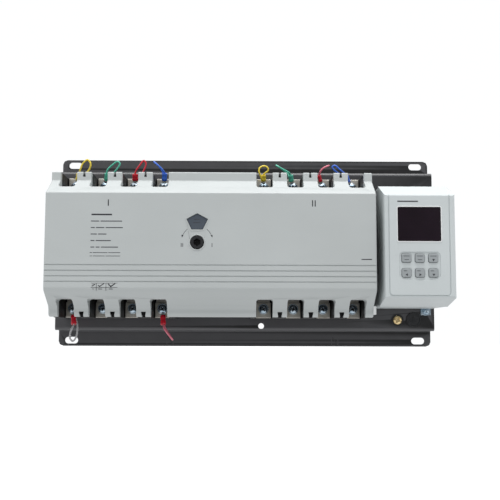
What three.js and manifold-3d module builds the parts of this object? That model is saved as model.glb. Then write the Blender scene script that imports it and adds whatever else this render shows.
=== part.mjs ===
// Automatic transfer switch: two four-pole moulded-case breakers on a bent steel base plate,
// a geared drive between them that works both toggles through racks, one plastic cover over
// all of it, and a controller with a screen and six keys at the right.
//
// Units are millimetres. The front faces -Y, +X is to the right and +Z is up. The origin is on
// the rear face of the lower mounting flange, midway between its two slots.

import * as THREE from "three";
import { mergeVertices } from "three/addons/utils/BufferGeometryUtils.js";
import Module from "manifold-3d";

const wasm = await Module();
wasm.setup();

// ---------------------------------------------------------------- driving dimensions

const GAP = 0.3; // clearance between pieces that touch

// Base plate: a hat section with its two flanges against the wall.
const PLATE = {
  halfWidth: 197.5,
  halfHeight: 100,
  sheet: 2,
  deckFront: -22,
  deckHalfHeight: 83.5,
  cornerCut: 5,
  slotX: 184,
  slotZ: 94,
  slotLength: 14,
  slotWidth: 7,
};
const DECK_HOLE = { x: 16.7, z: -78.8, radius: 3 };

// Breakers: two alike, each four poles wide.
const POLE_PITCH = 30;
const POLES = [-1.5, -0.5, 0.5, 1.5];
const BREAKER = {
  halfWidth: 58.5,
  halfHeight: 71.5,
  back: PLATE.deckFront - GAP,
  split: -60,
  endFront: -77,
  front: -84,
  frontHalfHeight: 50,
  wall: 3,
};
const POCKET = { halfWidth: 8.6, inner: 53, floor: -45.7 };
const CHAMBER = { halfWidth: 55.5, halfHeight: 50, floor: -26, partition: 2.4 };
const TERMINAL = {
  halfWidth: 7.5,
  inner: 55.6,
  outer: 71,
  front: -48.5,
  back: -46,
  strapFront: -48,
  screwZ: 61.9,
  holeRadius: 3.2,
  lineStrapEnd: 28,
  loadStrapEnd: 20,
};
const NUT_WELL = { radius: 4.2, back: -34 };
const CENTRE_X = { normal: -128.5, reserve: 63.5 };

// Contacts and toggles turn about X inside each breaker.
const FIXED_CONTACT = { z: 33, radius: 3.5, front: -49.6 };
const CONTACTS = {
  pivotY: -52,
  barRadius: 6,
  armWidth: 8,
  armThickness: 3,
  armLength: 34,
  tipRadius: 3.2,
  restTilt: 12,
};
const TOGGLE = {
  pivotY: -66,
  hubRadius: 5,
  tipY: -100,
  halfWidth: 5,
  shutterOuter: 14,
  shutterInner: 12,
  shutterHalfAngle: 0.9,
};

// Drive between the breakers.
const HUB = { x: -46, z: -1 };
const MODULE = 1;
const DRIVE_TEETH = 36;
const RACK_PINION_TEETH = 18;
const MOTOR_TEETH = 10;
const GEAR_LEVEL = { back: -84.3, front: -88.3 };
const RACK_LEVEL = { back: -89.2, front: -94.2 };
const SLIDE = { back: -90.5, front: -92.5, halfHeight: 32, armHalfHeight: 10 };
const GUIDE = { offsetX: 15.2, z: 25.5, pinRadius: 2, travel: 9 };
const SHAFT = {
  rear: -74.5,
  journalRadius: 5,
  neckRadius: 4.5,
  headBack: -100,
  headRadius: 6.1,
  socketRadius: 3.75,
  socketDepth: 9,
};
const MOTOR = {
  back: -32,
  canFront: -62.5,
  canRadius: 14.5,
  gearboxBack: -62,
  gearboxHalf: 13,
  shaftRadius: 2,
};
const DISC = { back: -97, front: -98.5, radius: 29.5, hubRadius: 8, boreRadius: 4.8 };
const SWITCHES = { left: -25, right: -2, bottom: 21, height: 20, depth: 10, gap: 2 };
const FRAME = { left: -67, right: 2, front: -82, sheet: 2, legHalfHeight: 30, webHalfHeight: 48 };

// Main cover.
const COVER = {
  left: -190.3,
  right: 124.3,
  back: -79,
  ledge: -86,
  face: -110,
  halfHeight: 71,
  ledgeHalfHeight: 62,
  faceHalfHeight: 46.5,
  wall: 2.5,
  endWall: 2,
  slotHalfWidth: 8,
  slotInner: 54,
  slotRadius: 2.5,
};
const COVER_GROOVES = [-22.6, -28, -33.2, -38.4];
const WINDOW_OUTLINE = [[0, 27.7], [-10.2, 22.2], [-5.4, 12.2], [5.4, 12.2], [10.2, 22.2]];

// Controller.
const BOX = {
  left: 130.8,
  right: 197.5,
  bottom: -60.3,
  top: 58.6,
  back: -24.6,
  split: -80,
  front: -118,
  frontBottom: -52.8,
  frontTop: 43.8,
  wall: 2.2,
  edge: 3,
};
const PANEL = { left: 134.2, right: 192.2, bottom: -51.6 };
const SCREEN = { x: 163.3, z: 16.15, width: 41, height: 32.7, moduleWidth: 46, moduleHeight: 38 };
const BOARD = { front: -108, thickness: 1.6, halfWidth: 28, bottom: -48, top: 42 };
const KEYPAD = { x: 163.3, bottom: -36.5, top: -10.1, halfWidth: 19.4, depth: 0.8 };
const KEY = { pitchX: 12.6, pitchZ: 13.9, topZ: -16, width: 8.8, height: 8.2, front: -118.8 };

const EARTH_SCREW = { x: 158.8, z: -72.2, headRadius: 4.7, headFront: -25.6 };
const BRACKET = { left: 183, right: 193.3, bottom: -67, top: 54, screwZ: -63.7 };

// ---------------------------------------------------------------- materials

function finish(color, roughness, metalness) {
  return { color, roughness, metalness };
}

const FINISH = {
  blackPaint: finish(0x3c3d40, 0.5, 0.3),
  blackMoulding: finish(0x26272a, 0.55, 0),
  coverPlastic: finish(0xb9bfbf, 0.42, 0),
  controllerPlastic: finish(0xc0c6c6, 0.4, 0),
  keyPlastic: finish(0xb2b8ba, 0.45, 0),
  darkPlastic: finish(0x1c1d20, 0.5, 0),
  tinnedCopper: finish(0xb8b6ab, 0.35, 0.9),
  zincSteel: finish(0xb4bac0, 0.35, 0.9),
  gearSteel: finish(0x8f9498, 0.35, 0.9),
  brass: finish(0xcaa862, 0.3, 0.9),
  silverContact: finish(0xc9b48c, 0.35, 0.8),
  boardGreen: finish(0x1f5a3a, 0.6, 0),
  screenGlass: finish(0x170f18, 0.15, 0),
  windowSmoke: finish(0x4a5460, 0.2, 0),
  indicator: finish(0xd8dadc, 0.5, 0),
  wireYellow: finish(0xe8cf3c, 0.5, 0),
  wireGreen: finish(0x4fae8c, 0.5, 0),
  wireRed: finish(0xc93545, 0.5, 0),
  wireBlue: finish(0x3f6fd0, 0.5, 0),
};

// ---------------------------------------------------------------- solids

/** Turns a closed geometry into a manifold solid for cutting and joining. */
function solid(geometry) {
  const bare = geometry.clone();
  bare.deleteAttribute("normal");
  bare.deleteAttribute("uv");
  const merged = mergeVertices(bare, 1e-4);
  const mesh = new wasm.Mesh({
    numProp: 3,
    vertProperties: new Float32Array(merged.attributes.position.array),
    triVerts: new Uint32Array(merged.index.array),
  });
  return new wasm.Manifold(mesh);
}

/** Turns a manifold solid back into a three.js geometry. */
function geometryOf(body) {
  const mesh = body.getMesh();
  const geometry = new THREE.BufferGeometry();
  geometry.setAttribute("position", new THREE.BufferAttribute(mesh.vertProperties, 3));
  geometry.setIndex(new THREE.BufferAttribute(mesh.triVerts, 1));
  geometry.computeVertexNormals();
  return geometry;
}

function joined(...bodies) {
  return bodies.reduce((sum, body) => sum.add(body));
}

function cut(body, ...tools) {
  return tools.reduce((rest, tool) => rest.subtract(tool), body);
}

function outline(points) {
  return new THREE.Shape(points.map(([u, v]) => new THREE.Vector2(u, v)));
}

function extruded(shape, depth, curveSegments) {
  return new THREE.ExtrudeGeometry(shape, { depth, bevelEnabled: false, curveSegments });
}

/** A (y, z) outline carried along X. */
function prismX(shape, x0, x1, curveSegments = 6) {
  const geometry = extruded(shape, x1 - x0, curveSegments);
  const turn = new THREE.Matrix4().set(0, 0, 1, x0, 1, 0, 0, 0, 0, 1, 0, 0, 0, 0, 0, 1);
  return solid(geometry.applyMatrix4(turn));
}

/** An (x, z) outline carried along Y, from the back towards the front. */
function prismY(shape, back, front, curveSegments = 6) {
  const geometry = extruded(shape, back - front, curveSegments);
  geometry.rotateX(Math.PI / 2);
  geometry.translate(0, back, 0);
  return solid(geometry);
}

/** An (x, y) outline carried along Z. */
function prismZ(shape, z0, z1, curveSegments = 6) {
  const geometry = extruded(shape, z1 - z0, curveSegments);
  geometry.translate(0, 0, z0);
  return solid(geometry);
}

function box(x0, x1, y0, y1, z0, z1) {
  const geometry = new THREE.BoxGeometry(x1 - x0, y1 - y0, z1 - z0);
  geometry.translate((x0 + x1) / 2, (y0 + y1) / 2, (z0 + z1) / 2);
  return solid(geometry);
}

/** A round rod along Y at (x, z). */
function rodY(x, z, radius, back, front, sides = 24) {
  const geometry = new THREE.CylinderGeometry(radius, radius, back - front, sides);
  geometry.translate(x, (back + front) / 2, z);
  return solid(geometry);
}

/** A round rod along X at (y, z). */
function rodX(y, z, radius, x0, x1, sides = 24) {
  const geometry = new THREE.CylinderGeometry(radius, radius, x1 - x0, sides);
  geometry.rotateZ(Math.PI / 2);
  geometry.translate((x0 + x1) / 2, y, z);
  return solid(geometry);
}

/** A rectangle with rounded corners, centred at (u, v). */
function roundedRectangle(u, v, width, height, radius) {
  const shape = new THREE.Shape();
  const [l, r, b, t] = [u - width / 2, u + width / 2, v - height / 2, v + height / 2];
  shape.moveTo(l + radius, b);
  shape.lineTo(r - radius, b);
  shape.absarc(r - radius, b + radius, radius, -Math.PI / 2, 0);
  shape.lineTo(r, t - radius);
  shape.absarc(r - radius, t - radius, radius, 0, Math.PI / 2);
  shape.lineTo(l + radius, t);
  shape.absarc(l + radius, t - radius, radius, Math.PI / 2, Math.PI);
  shape.lineTo(l, b + radius);
  shape.absarc(l + radius, b + radius, radius, Math.PI, Math.PI * 1.5);
  return shape;
}

/** Outline of a spur gear with straight-flanked teeth, centred at (u, v). */
function gearOutline(u, v, teeth, phase) {
  const pitch = (MODULE * teeth) / 2;
  const [tip, root] = [pitch + 0.85 * MODULE, pitch - 1.1 * MODULE];
  const step = (Math.PI * 2) / teeth;
  const points = [];
  for (let tooth = 0; tooth < teeth; tooth += 1) {
    const centre = phase + tooth * step;
    for (const [radius, share] of [[root, -0.33], [tip, -0.13], [tip, 0.13], [root, 0.33]]) {
      const angle = centre + share * step;
      points.push([u + radius * Math.cos(angle), v + radius * Math.sin(angle)]);
    }
  }
  return outline(points);
}

// ---------------------------------------------------------------- the assembly

const device = new THREE.Group();
device.position.z = PLATE.slotZ; // the pieces are drawn about the plate's mid height

function add(name, body, look) {
  const material = new THREE.MeshStandardMaterial(look);
  const mesh = new THREE.Mesh(geometryOf(body), material);
  mesh.name = name;
  device.add(mesh);
}

// ---- base plate

function basePlate() {
  const { halfWidth: w, halfHeight: h, sheet, deckFront, deckHalfHeight: d, cornerCut } = PLATE;
  const [flangeFront, deckBack, channel] = [-sheet, deckFront + sheet, d - sheet];
  let plate = prismX(outline([
    [0, -h], [0, -channel], [deckBack, -channel], [deckBack, channel], [0, channel], [0, h],
    [flangeFront, h], [flangeFront, d], [deckFront, d], [deckFront, -d], [flangeFront, -d],
    [flangeFront, -h],
  ].reverse()), -w, w);
  for (const sx of [-1, 1]) {
    for (const sz of [-1, 1]) {
      const corner = [[w + 1, h + 1], [w - cornerCut, h + 1], [w - cornerCut, h],
        [w, h - cornerCut], [w + 1, h - cornerCut]].map(([x, z]) => [x * sx, z * sz]);
      plate = cut(plate, prismY(outline(corner), 1, -4));
      const slot = roundedRectangle(sx * PLATE.slotX, sz * PLATE.slotZ, PLATE.slotLength,
        PLATE.slotWidth, PLATE.slotWidth / 2 - 0.01);
      plate = cut(plate, prismY(slot, 1, -4, 3));
    }
  }
  const deckHoles = [[EARTH_SCREW.x, EARTH_SCREW.z, 2.7],
    [DECK_HOLE.x, DECK_HOLE.z, DECK_HOLE.radius],
    [(BRACKET.left + BRACKET.right) / 2, BRACKET.screwZ, 2.3]];
  for (const [x, z, radius] of deckHoles) {
    plate = cut(plate, rodY(x, z, radius, deckBack + 1, deckFront - 1, 12));
  }
  return plate;
}

// ---- breakers

/** The sign of the end where the line side (top) or the load side (bottom) sits. */
const ENDS = { line: 1, load: -1 };

function poleX(breaker, pole) {
  return CENTRE_X[breaker] + POLES[pole] * POLE_PITCH;
}

/** The terminal pocket of one pole at one end, open to the front and outwards. */
function pocket(x, end) {
  const [z0, z1] = [POCKET.inner * end, (BREAKER.halfHeight + 1) * end].sort((a, b) => a - b);
  return box(x - POCKET.halfWidth, x + POCKET.halfWidth, BREAKER.front - 1, POCKET.floor, z0, z1);
}

function breakerCase(breaker) {
  const cx = CENTRE_X[breaker];
  const { halfWidth: w, halfHeight: h, back, split } = BREAKER;
  let shell = box(cx - w, cx + w, split, back, -h, h);
  shell = cut(shell, box(cx - CHAMBER.halfWidth, cx + CHAMBER.halfWidth, split - 1, CHAMBER.floor,
    -CHAMBER.halfHeight, CHAMBER.halfHeight));
  for (const wall of [-1, 0, 1]) {
    const x = cx + wall * POLE_PITCH;
    const partition = box(x - CHAMBER.partition / 2, x + CHAMBER.partition / 2, split,
      CHAMBER.floor + 1, -CHAMBER.halfHeight - 1, CHAMBER.halfHeight + 1);
    const barNotch = box(x - 2, x + 2, split - 1, CONTACTS.pivotY + CONTACTS.barRadius + 1,
      -CONTACTS.barRadius - 1, CONTACTS.barRadius + 1);
    shell = joined(shell, cut(partition, barNotch));
  }
  for (const pole of POLES.keys()) {
    const x = poleX(breaker, pole);
    for (const end of Object.values(ENDS)) {
      const strapSlit = box(x - TERMINAL.halfWidth - GAP, x + TERMINAL.halfWidth + GAP,
        TERMINAL.front - GAP, TERMINAL.back + GAP,
        ...[end * (CHAMBER.halfHeight - 1), end * (POCKET.inner + 1)].sort((a, b) => a - b));
      const nutWell = rodY(x, end * TERMINAL.screwZ, NUT_WELL.radius, NUT_WELL.back,
        POCKET.floor - 1, 8);
      shell = cut(shell, pocket(x, end), strapSlit, nutWell);
    }
  }
  return shell;
}

function breakerLid(breaker) {
  const cx = CENTRE_X[breaker];
  const { halfWidth: w, halfHeight: h, endFront, front, frontHalfHeight: f, wall } = BREAKER;
  const back = BREAKER.split - GAP;
  const section = outline([[back, -h], [back, h], [endFront, h], [endFront, f + 1], [front, f - 2],
    [front, -f + 2], [endFront, -f - 1], [endFront, -h]].reverse());
  let shell = prismX(section, cx - w, cx + w);
  shell = cut(shell, box(cx - CHAMBER.halfWidth, cx + CHAMBER.halfWidth, front + wall, back + 1,
    -f + wall + 3, f - wall - 3));
  shell = cut(shell, box(cx - 7, cx + 7, front - 1, front + wall + 1, -15, 15));
  for (const pole of POLES.keys()) {
    for (const end of Object.values(ENDS)) {
      shell = cut(shell, pocket(poleX(breaker, pole), end));
    }
  }
  return shell;
}

/** Terminal pad with its strap; the line strap carries the fixed contact. */
function terminal(x, end) {
  const { halfWidth: w, inner, outer, front, back, strapFront } = TERMINAL;
  const strapEnd = end > 0 ? TERMINAL.lineStrapEnd : TERMINAL.loadStrapEnd;
  const span = (a, b) => [a * end, b * end].sort((p, q) => p - q);
  const pad = box(x - w, x + w, front, back, ...span(inner, outer));
  const strap = box(x - w + 1, x + w - 1, strapFront, back, ...span(strapEnd, inner + 1));
  let body = joined(pad, strap);
  if (end > 0) {
    body = joined(body, rodY(x, FIXED_CONTACT.z, FIXED_CONTACT.radius, back,
      FIXED_CONTACT.front, 12));
  }
  return cut(body, rodY(x, end * TERMINAL.screwZ, TERMINAL.holeRadius, back + 1, front - 1, 10));
}

/** Moving contacts of one breaker: an insulating bar with four spring arms, half open. */
function contactBar(breaker) {
  const cx = CENTRE_X[breaker];
  const { pivotY, barRadius, armWidth, armThickness, armLength, tipRadius, restTilt } = CONTACTS;
  const bar = new THREE.CylinderGeometry(barRadius, barRadius, 2 * CHAMBER.halfWidth - 3, 20);
  bar.rotateZ(Math.PI / 2);
  let body = solid(bar);
  for (const pole of POLES) {
    const arm = new THREE.BoxGeometry(armWidth, armThickness, armLength);
    arm.translate(pole * POLE_PITCH, 0, armLength / 2 + 3);
    const tip = new THREE.CylinderGeometry(tipRadius, tipRadius, 2, 12);
    tip.translate(pole * POLE_PITCH, 1.1, FIXED_CONTACT.z);
    body = joined(body, solid(arm), solid(tip));
  }
  const placed = geometryOf(body);
  placed.rotateX(THREE.MathUtils.degToRad(restTilt));
  placed.translate(cx, pivotY, 0);
  return solid(placed);
}

/** Breaker toggle at its middle position: hub, curved shutter and tapered lever. */
function toggle(breaker) {
  const cx = CENTRE_X[breaker];
  const { pivotY, hubRadius, tipY, halfWidth, shutterHalfAngle: sweep } = TOGGLE;
  const hub = rodX(pivotY, 0, hubRadius, cx - 9, cx + 9, 20);
  const shutter = new THREE.Shape();
  shutter.absarc(pivotY, 0, TOGGLE.shutterOuter, Math.PI - sweep, Math.PI + sweep);
  shutter.absarc(pivotY, 0, TOGGLE.shutterInner, Math.PI + sweep, Math.PI - sweep, true);
  const lever = outline([[pivotY, -4.2], [pivotY, 4.2], [tipY + 1, 3.2], [tipY, 2.2],
    [tipY, -2.2], [tipY + 1, -3.2]].reverse());
  return joined(hub, prismX(shutter, cx - 8, cx + 8, 10),
    prismX(lever, cx - halfWidth, cx + halfWidth));
}

// ---- drive

function mechanismFrame() {
  const { left, right, front, sheet, legHalfHeight, webHalfHeight } = FRAME;
  const foot = PLATE.deckFront - GAP;
  const legs = prismZ(outline([
    [left, foot], [left, front], [right, front], [right, foot], [right - 12, foot],
    [right - 12, foot - sheet], [right - sheet, foot - sheet], [right - sheet, front + sheet],
    [left + sheet, front + sheet], [left + sheet, foot - sheet], [left + 12, foot - sheet],
    [left + 12, foot],
  ]), -legHalfHeight, legHalfHeight);
  const web = box(left, right, front, front + sheet, -webHalfHeight, webHalfHeight);
  const boreTool = rodY(HUB.x, HUB.z, 8, front + sheet + 1, front - 1, 28);
  const motorHole = rodY(HUB.x, HUB.z - motorDistance(), 4, front + sheet + 1, front - 1, 20);
  const pins = [-1, 1].flatMap((sx) => [-1, 1].map((sz) => rodY(HUB.x + sx * GUIDE.offsetX,
    HUB.z + sz * GUIDE.z, GUIDE.pinRadius, front + 1, SLIDE.front - 1.5, 10)));
  return joined(cut(joined(legs, web), boreTool, motorHole), ...pins);
}

function motorDistance() {
  return (MODULE * (DRIVE_TEETH + MOTOR_TEETH)) / 2;
}

function shaftBush() {
  const { front } = FRAME;
  const profile = [[5.3, -6], [7.7, -6], [7.7, 0], [10, 0], [10, 1.5], [5.3, 1.5], [5.3, -6]];
  const ring = new THREE.LatheGeometry(profile.map(([r, y]) => new THREE.Vector2(r, y)), 28);
  ring.rotateX(Math.PI);
  ring.translate(HUB.x, front - GAP, HUB.z);
  return solid(ring);
}

/** Shaft with its rack pinion and the hexagon socket for the hand crank. */
function operatingShaft() {
  const { x, z } = HUB;
  const { rear, journalRadius, neckRadius, headBack, headRadius, socketRadius } = SHAFT;
  const headFront = COVER.face - 0.6;
  const journal = rodY(x, z, journalRadius, rear, RACK_LEVEL.back - 0.5, 28);
  const pinion = prismY(gearOutline(x, z, RACK_PINION_TEETH, 0), RACK_LEVEL.back,
    RACK_LEVEL.front);
  const neck = rodY(x, z, neckRadius, RACK_LEVEL.front + 0.5, headBack - 0.5, 24);
  const head = rodY(x, z, headRadius, headBack, headFront, 32);
  const socket = new THREE.CylinderGeometry(socketRadius, socketRadius, SHAFT.socketDepth + 1, 6);
  socket.translate(x, headFront + (SHAFT.socketDepth - 1) / 2, z);
  return cut(joined(journal, pinion, neck, head), solid(socket));
}

function driveGear() {
  const { back, front } = GEAR_LEVEL;
  const wheel = prismY(gearOutline(HUB.x, HUB.z, DRIVE_TEETH, 0), back, front);
  const windows = [0, 1, 2, 3].map((quarter) => {
    const angle = Math.PI / 4 + (quarter * Math.PI) / 2;
    return rodY(HUB.x + 11 * Math.cos(angle), HUB.z + 11 * Math.sin(angle), 3, back + 1,
      front - 1, 10);
  });
  return cut(wheel, rodY(HUB.x, HUB.z, 5.3, back + 1, front - 1, 20), ...windows);
}

function motorPinion() {
  const z = HUB.z - motorDistance();
  // A tooth gap faces the drive gear's tooth straight below the hub.
  const phase = Math.PI / 2 + Math.PI / MOTOR_TEETH;
  const wheel = prismY(gearOutline(HUB.x, z, MOTOR_TEETH, phase), GEAR_LEVEL.back,
    GEAR_LEVEL.front);
  return joined(wheel, rodY(HUB.x, z, MOTOR.shaftRadius, -70, GEAR_LEVEL.front, 16));
}

function driveMotor() {
  const z = HUB.z - motorDistance();
  const { back, canFront, canRadius, gearboxBack, gearboxHalf: half, shaftRadius } = MOTOR;
  const front = FRAME.front + FRAME.sheet + GAP;
  const gearbox = box(HUB.x - half, HUB.x + half, front, gearboxBack, z - half, z + half);
  const can = rodY(HUB.x, z, canRadius, back, canFront, 32);
  const tail = rodY(HUB.x, z, 4, back + 3, back - 1, 20);
  return cut(joined(gearbox, can, tail), rodY(HUB.x, z, shaftRadius + 0.4, -69, front - 1, 16));
}

/** Steel slide: a rack beside the pinion and an arm with a window round the toggle. */
function slide(breaker) {
  const side = breaker === "normal" ? -1 : 1;
  const pitchLine = (MODULE * RACK_PINION_TEETH) / 2;
  const pitch = Math.PI * MODULE;
  const u = (offset) => HUB.x + side * offset;
  const teeth = [];
  // The pinion has a tooth on its pitch line here, so the rack has a gap at its middle.
  for (let index = -6; index < 6; index += 1) {
    const centre = HUB.z + (index + 0.5) * pitch;
    for (const [depth, share] of [[1.1, -0.33], [-0.85, -0.13], [-0.85, 0.13], [1.1, 0.33]]) {
      teeth.push([u(pitchLine + depth * MODULE), centre + share * pitch]);
    }
  }
  const [low, high] = [HUB.z - SLIDE.halfHeight, HUB.z + SLIDE.halfHeight];
  const rack = [[u(pitchLine + 1.1), low], ...teeth, [u(pitchLine + 1.1), high],
    [u(pitchLine + 11), high], [u(pitchLine + 11), low]];
  const bar = prismY(outline(side < 0 ? rack.reverse() : rack), SLIDE.back, SLIDE.front);
  const reach = CENTRE_X[breaker] + side * 14;
  const [x0, x1] = [u(pitchLine + 9), reach].sort((a, b) => a - b);
  const arm = box(x0, x1, SLIDE.front, SLIDE.back, -SLIDE.armHalfHeight, SLIDE.armHalfHeight);
  const toggleWindow = box(CENTRE_X[breaker] - TOGGLE.halfWidth - 0.6,
    CENTRE_X[breaker] + TOGGLE.halfWidth + 0.6, SLIDE.front - 1, SLIDE.back + 1, -4.6, 4.6);
  const guideSlots = [-1, 1].map((sz) => prismY(roundedRectangle(u(GUIDE.offsetX),
    HUB.z + sz * GUIDE.z, 2 * GUIDE.pinRadius + 0.6, 2 * (GUIDE.pinRadius + GUIDE.travel),
    GUIDE.pinRadius + 0.29), SLIDE.back + 1, SLIDE.front - 1, 5));
  return cut(joined(bar, arm), toggleWindow, ...guideSlots);
}

function indicatorDisc() {
  const { back, front, radius, hubRadius, boreRadius } = DISC;
  const sector = new THREE.Shape();
  sector.moveTo(HUB.x + hubRadius, HUB.z);
  sector.absarc(HUB.x, HUB.z, radius, -0.05, Math.PI + 0.05);
  sector.absarc(HUB.x, HUB.z, hubRadius, Math.PI, Math.PI * 2);
  const plate = prismY(sector, back, front, 14);
  return cut(plate, rodY(HUB.x, HUB.z, boreRadius, back + 1, front - 1, 20));
}

/** Two limit switches side by side on one base, each with a lever at its front. */
function limitSwitchBlock() {
  const { left, right, bottom, height, depth, gap } = SWITCHES;
  const foot = FRAME.front - GAP;
  const top = bottom + height;
  const width = (right - left - gap) / 2;
  const base = box(left, right, foot - 2, foot, bottom, top + 4);
  const switches = [left, right - width].flatMap((x) => [
    box(x, x + width, foot - depth, foot, bottom, top),
    box(x + width / 2 - 2, x + width / 2 + 2, foot - depth - 2.5, foot - depth + 0.5, bottom + 4,
      bottom + 7),
  ]);
  return joined(base, ...switches);
}

// ---- main cover

/** The cover's (y, z) section, drawn in by an inset and carried back past its open side. */
function coverSection(inset) {
  const { back, ledge, face, halfHeight, ledgeHalfHeight, faceHalfHeight } = COVER;
  const slope = (ledgeHalfHeight - faceHalfHeight) / (ledge - face);
  const shift = inset * Math.hypot(1, slope);
  const onSlope = (y) => ledgeHalfHeight + (y - ledge) * slope - shift;
  const half = [
    [back + (inset > 0 ? 1 : 0), halfHeight - inset],
    [ledge + inset, halfHeight - inset],
    [ledge + inset, onSlope(ledge + inset)],
    [face + inset, onSlope(face + inset)],
  ];
  const mirrored = half.map(([y, z]) => [y, -z]).reverse();
  return outline([...half, ...mirrored]);
}

/** A cable slot in the cover: open at the cover's edge, with rounded inner corners. */
function coverSlot(x, end) {
  const height = 30;
  return roundedRectangle(x, end * (COVER.slotInner + height / 2), 2 * COVER.slotHalfWidth, height,
    COVER.slotRadius);
}

function barrierNotch(x, end) {
  const { halfHeight: h } = COVER;
  const points = [[x - 1.5, h + 0.5], [x - 2.4, h - 5], [x + 2.4, h - 5], [x + 1.5, h + 0.5]];
  return outline(points.map(([u, v]) => [u, v * end]));
}

function windowOutline(growth) {
  const centre = 20;
  return outline(WINDOW_OUTLINE.map(([u, v]) => {
    const length = Math.hypot(u, v - centre);
    const scale = (length + growth) / length;
    return [HUB.x + u * scale, HUB.z + centre + (v - centre) * scale];
  }));
}

function mainCover() {
  const { left, right, back, face, wall, endWall, slotHalfWidth, slotInner } = COVER;
  const outer = prismX(coverSection(0), left, right);
  let shell = cut(outer, prismX(coverSection(wall), left + endWall, right - endWall));
  const slots = [];
  for (const breaker of Object.keys(CENTRE_X)) {
    for (const end of Object.values(ENDS)) {
      for (const pole of POLES.keys()) {
        const x = poleX(breaker, pole);
        const liningEnds = [end * (slotInner - 2), end * COVER.halfHeight].sort((a, b) => a - b);
        const lining = box(x - slotHalfWidth - 2, x + slotHalfWidth + 2, face, back, ...liningEnds);
        shell = joined(shell, lining.intersect(outer));
        slots.push(prismY(coverSlot(x, end), back + 1, face - 1, 2));
        if (pole > 0) {
          const notch = barrierNotch(x - POLE_PITCH / 2, end);
          slots.push(prismY(notch, back + 0.5, COVER.ledge - 1));
        }
      }
    }
  }
  const grooves = COVER_GROOVES.map((z) => box(left - 1, right + 1, face - 1, face + 0.5, z - 0.4,
    z + 0.4));
  const hubHole = rodY(HUB.x, HUB.z, 6.6, face + wall + 1, face - 1, 32);
  const windowHole = prismY(windowOutline(0), face + wall + 1, face - 1);
  return cut(shell, ...slots, ...grooves, hubHole, windowHole);
}

function indicatorWindow() {
  const { face, wall } = COVER;
  const pane = prismY(windowOutline(-GAP), face + wall + 1.5, face + 0.4);
  const rim = prismY(windowOutline(1.6), face + wall + 1.8, face + wall + GAP);
  return joined(pane, rim);
}

// ---- controller

function controllerCase() {
  const { left, right, bottom, top, back, split, wall, edge } = BOX;
  const middle = [(left + right) / 2, (bottom + top) / 2];
  const [width, height] = [right - left, top - bottom];
  const outer = prismY(roundedRectangle(...middle, width, height, edge), back, split, 3);
  const inner = box(left + wall, right - wall, split - 1, back - wall, bottom + wall, top - wall);
  return cut(outer, inner);
}

/** The front moulding's block, drawn in by an inset: sloped above and below, round-sided. */
function frontBlock(inset) {
  const { left, right, split, front, bottom, top, frontBottom, frontTop, edge } = BOX;
  const rear = split - GAP + (inset > 0 ? 1 : 0);
  const section = outline([[rear, bottom + inset], [front + inset, frontBottom + inset],
    [front + inset, frontTop - inset], [rear, top - inset]]);
  const [l, r, f, e] = [left + inset, right - inset, front + inset, Math.max(edge - inset, 0.5)];
  const plan = new THREE.Shape();
  plan.moveTo(l, rear);
  plan.lineTo(l, f + e);
  plan.absarc(l + e, f + e, e, Math.PI, Math.PI * 1.5);
  plan.lineTo(r - e, f);
  plan.absarc(r - e, f + e, e, -Math.PI / 2, 0);
  plan.lineTo(r, rear);
  return prismX(section, left - 1, right + 1).intersect(prismZ(plan, bottom - 1, top + 1, 3));
}

function panelOutline(inset) {
  const { left, right, bottom } = PANEL;
  const top = BOX.frontTop + 6;
  const [width, height] = [right - left - 2 * inset, top - bottom - inset];
  return roundedRectangle((left + right) / 2, top - height / 2, width, height, 3.5 - inset);
}

function keyCentres() {
  const columns = [-1, 0, 1].map((column) => KEYPAD.x + column * KEY.pitchX);
  const rows = [KEY.topZ, KEY.topZ - KEY.pitchZ];
  return rows.flatMap((z) => columns.map((x) => [x, z]));
}

function controllerFront() {
  const { front, wall } = BOX;
  const shell = cut(frontBlock(0), frontBlock(wall));
  const ring = cut(prismY(panelOutline(0), front + 0.6, front - 1, 3),
    prismY(panelOutline(0.9), front + 1, front - 2, 3));
  const aperture = prismY(roundedRectangle(SCREEN.x, SCREEN.z, SCREEN.width, SCREEN.height, 1.2),
    front + wall + 1, front - 1, 3);
  const keypadHeight = KEYPAD.top - KEYPAD.bottom;
  const recess = prismY(roundedRectangle(KEYPAD.x, KEYPAD.bottom + keypadHeight / 2,
    2 * KEYPAD.halfWidth, keypadHeight, 4), front + KEYPAD.depth, front - 1, 3);
  const keyHoles = keyCentres().map(([x, z]) => prismY(roundedRectangle(x, z,
    KEY.width + 2 * GAP, KEY.height + 2 * GAP, 2), front + wall + 1, front - 1, 2));
  return cut(shell, ring, aperture, recess, ...keyHoles);
}

function controllerScreen() {
  const inner = BOX.front + BOX.wall + GAP;
  const glass = prismY(roundedRectangle(SCREEN.x, SCREEN.z, SCREEN.width - 2 * GAP,
    SCREEN.height - 2 * GAP, 1), inner + 1, BOX.front + 0.5, 3);
  const [halfWidth, halfHeight] = [SCREEN.moduleWidth / 2, SCREEN.moduleHeight / 2];
  const module = box(SCREEN.x - halfWidth, SCREEN.x + halfWidth, inner, inner + 6,
    SCREEN.z - halfHeight, SCREEN.z + halfHeight);
  return joined(glass, module);
}

function key([x, z]) {
  const inner = BOX.front + BOX.wall + GAP;
  const cap = prismY(roundedRectangle(x, z, KEY.width, KEY.height, 1.8), inner + 0.5, KEY.front,
    2);
  const flange = box(x - 5.6, x + 5.6, inner, inner + 1.5, z - 5.4, z + 5.4);
  return joined(cap, flange, rodY(x, z, 1.6, inner + 4.6, inner + 1, 8));
}

function controllerBoard() {
  const { front, thickness, halfWidth, bottom, top } = BOARD;
  const board = box(SCREEN.x - halfWidth, SCREEN.x + halfWidth, front, front + thickness, bottom,
    top);
  const switches = keyCentres().map(([x, z]) => box(x - 3, x + 3, front - 1.4, front + 0.5, z - 3,
    z + 3));
  return joined(board, ...switches);
}

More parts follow.
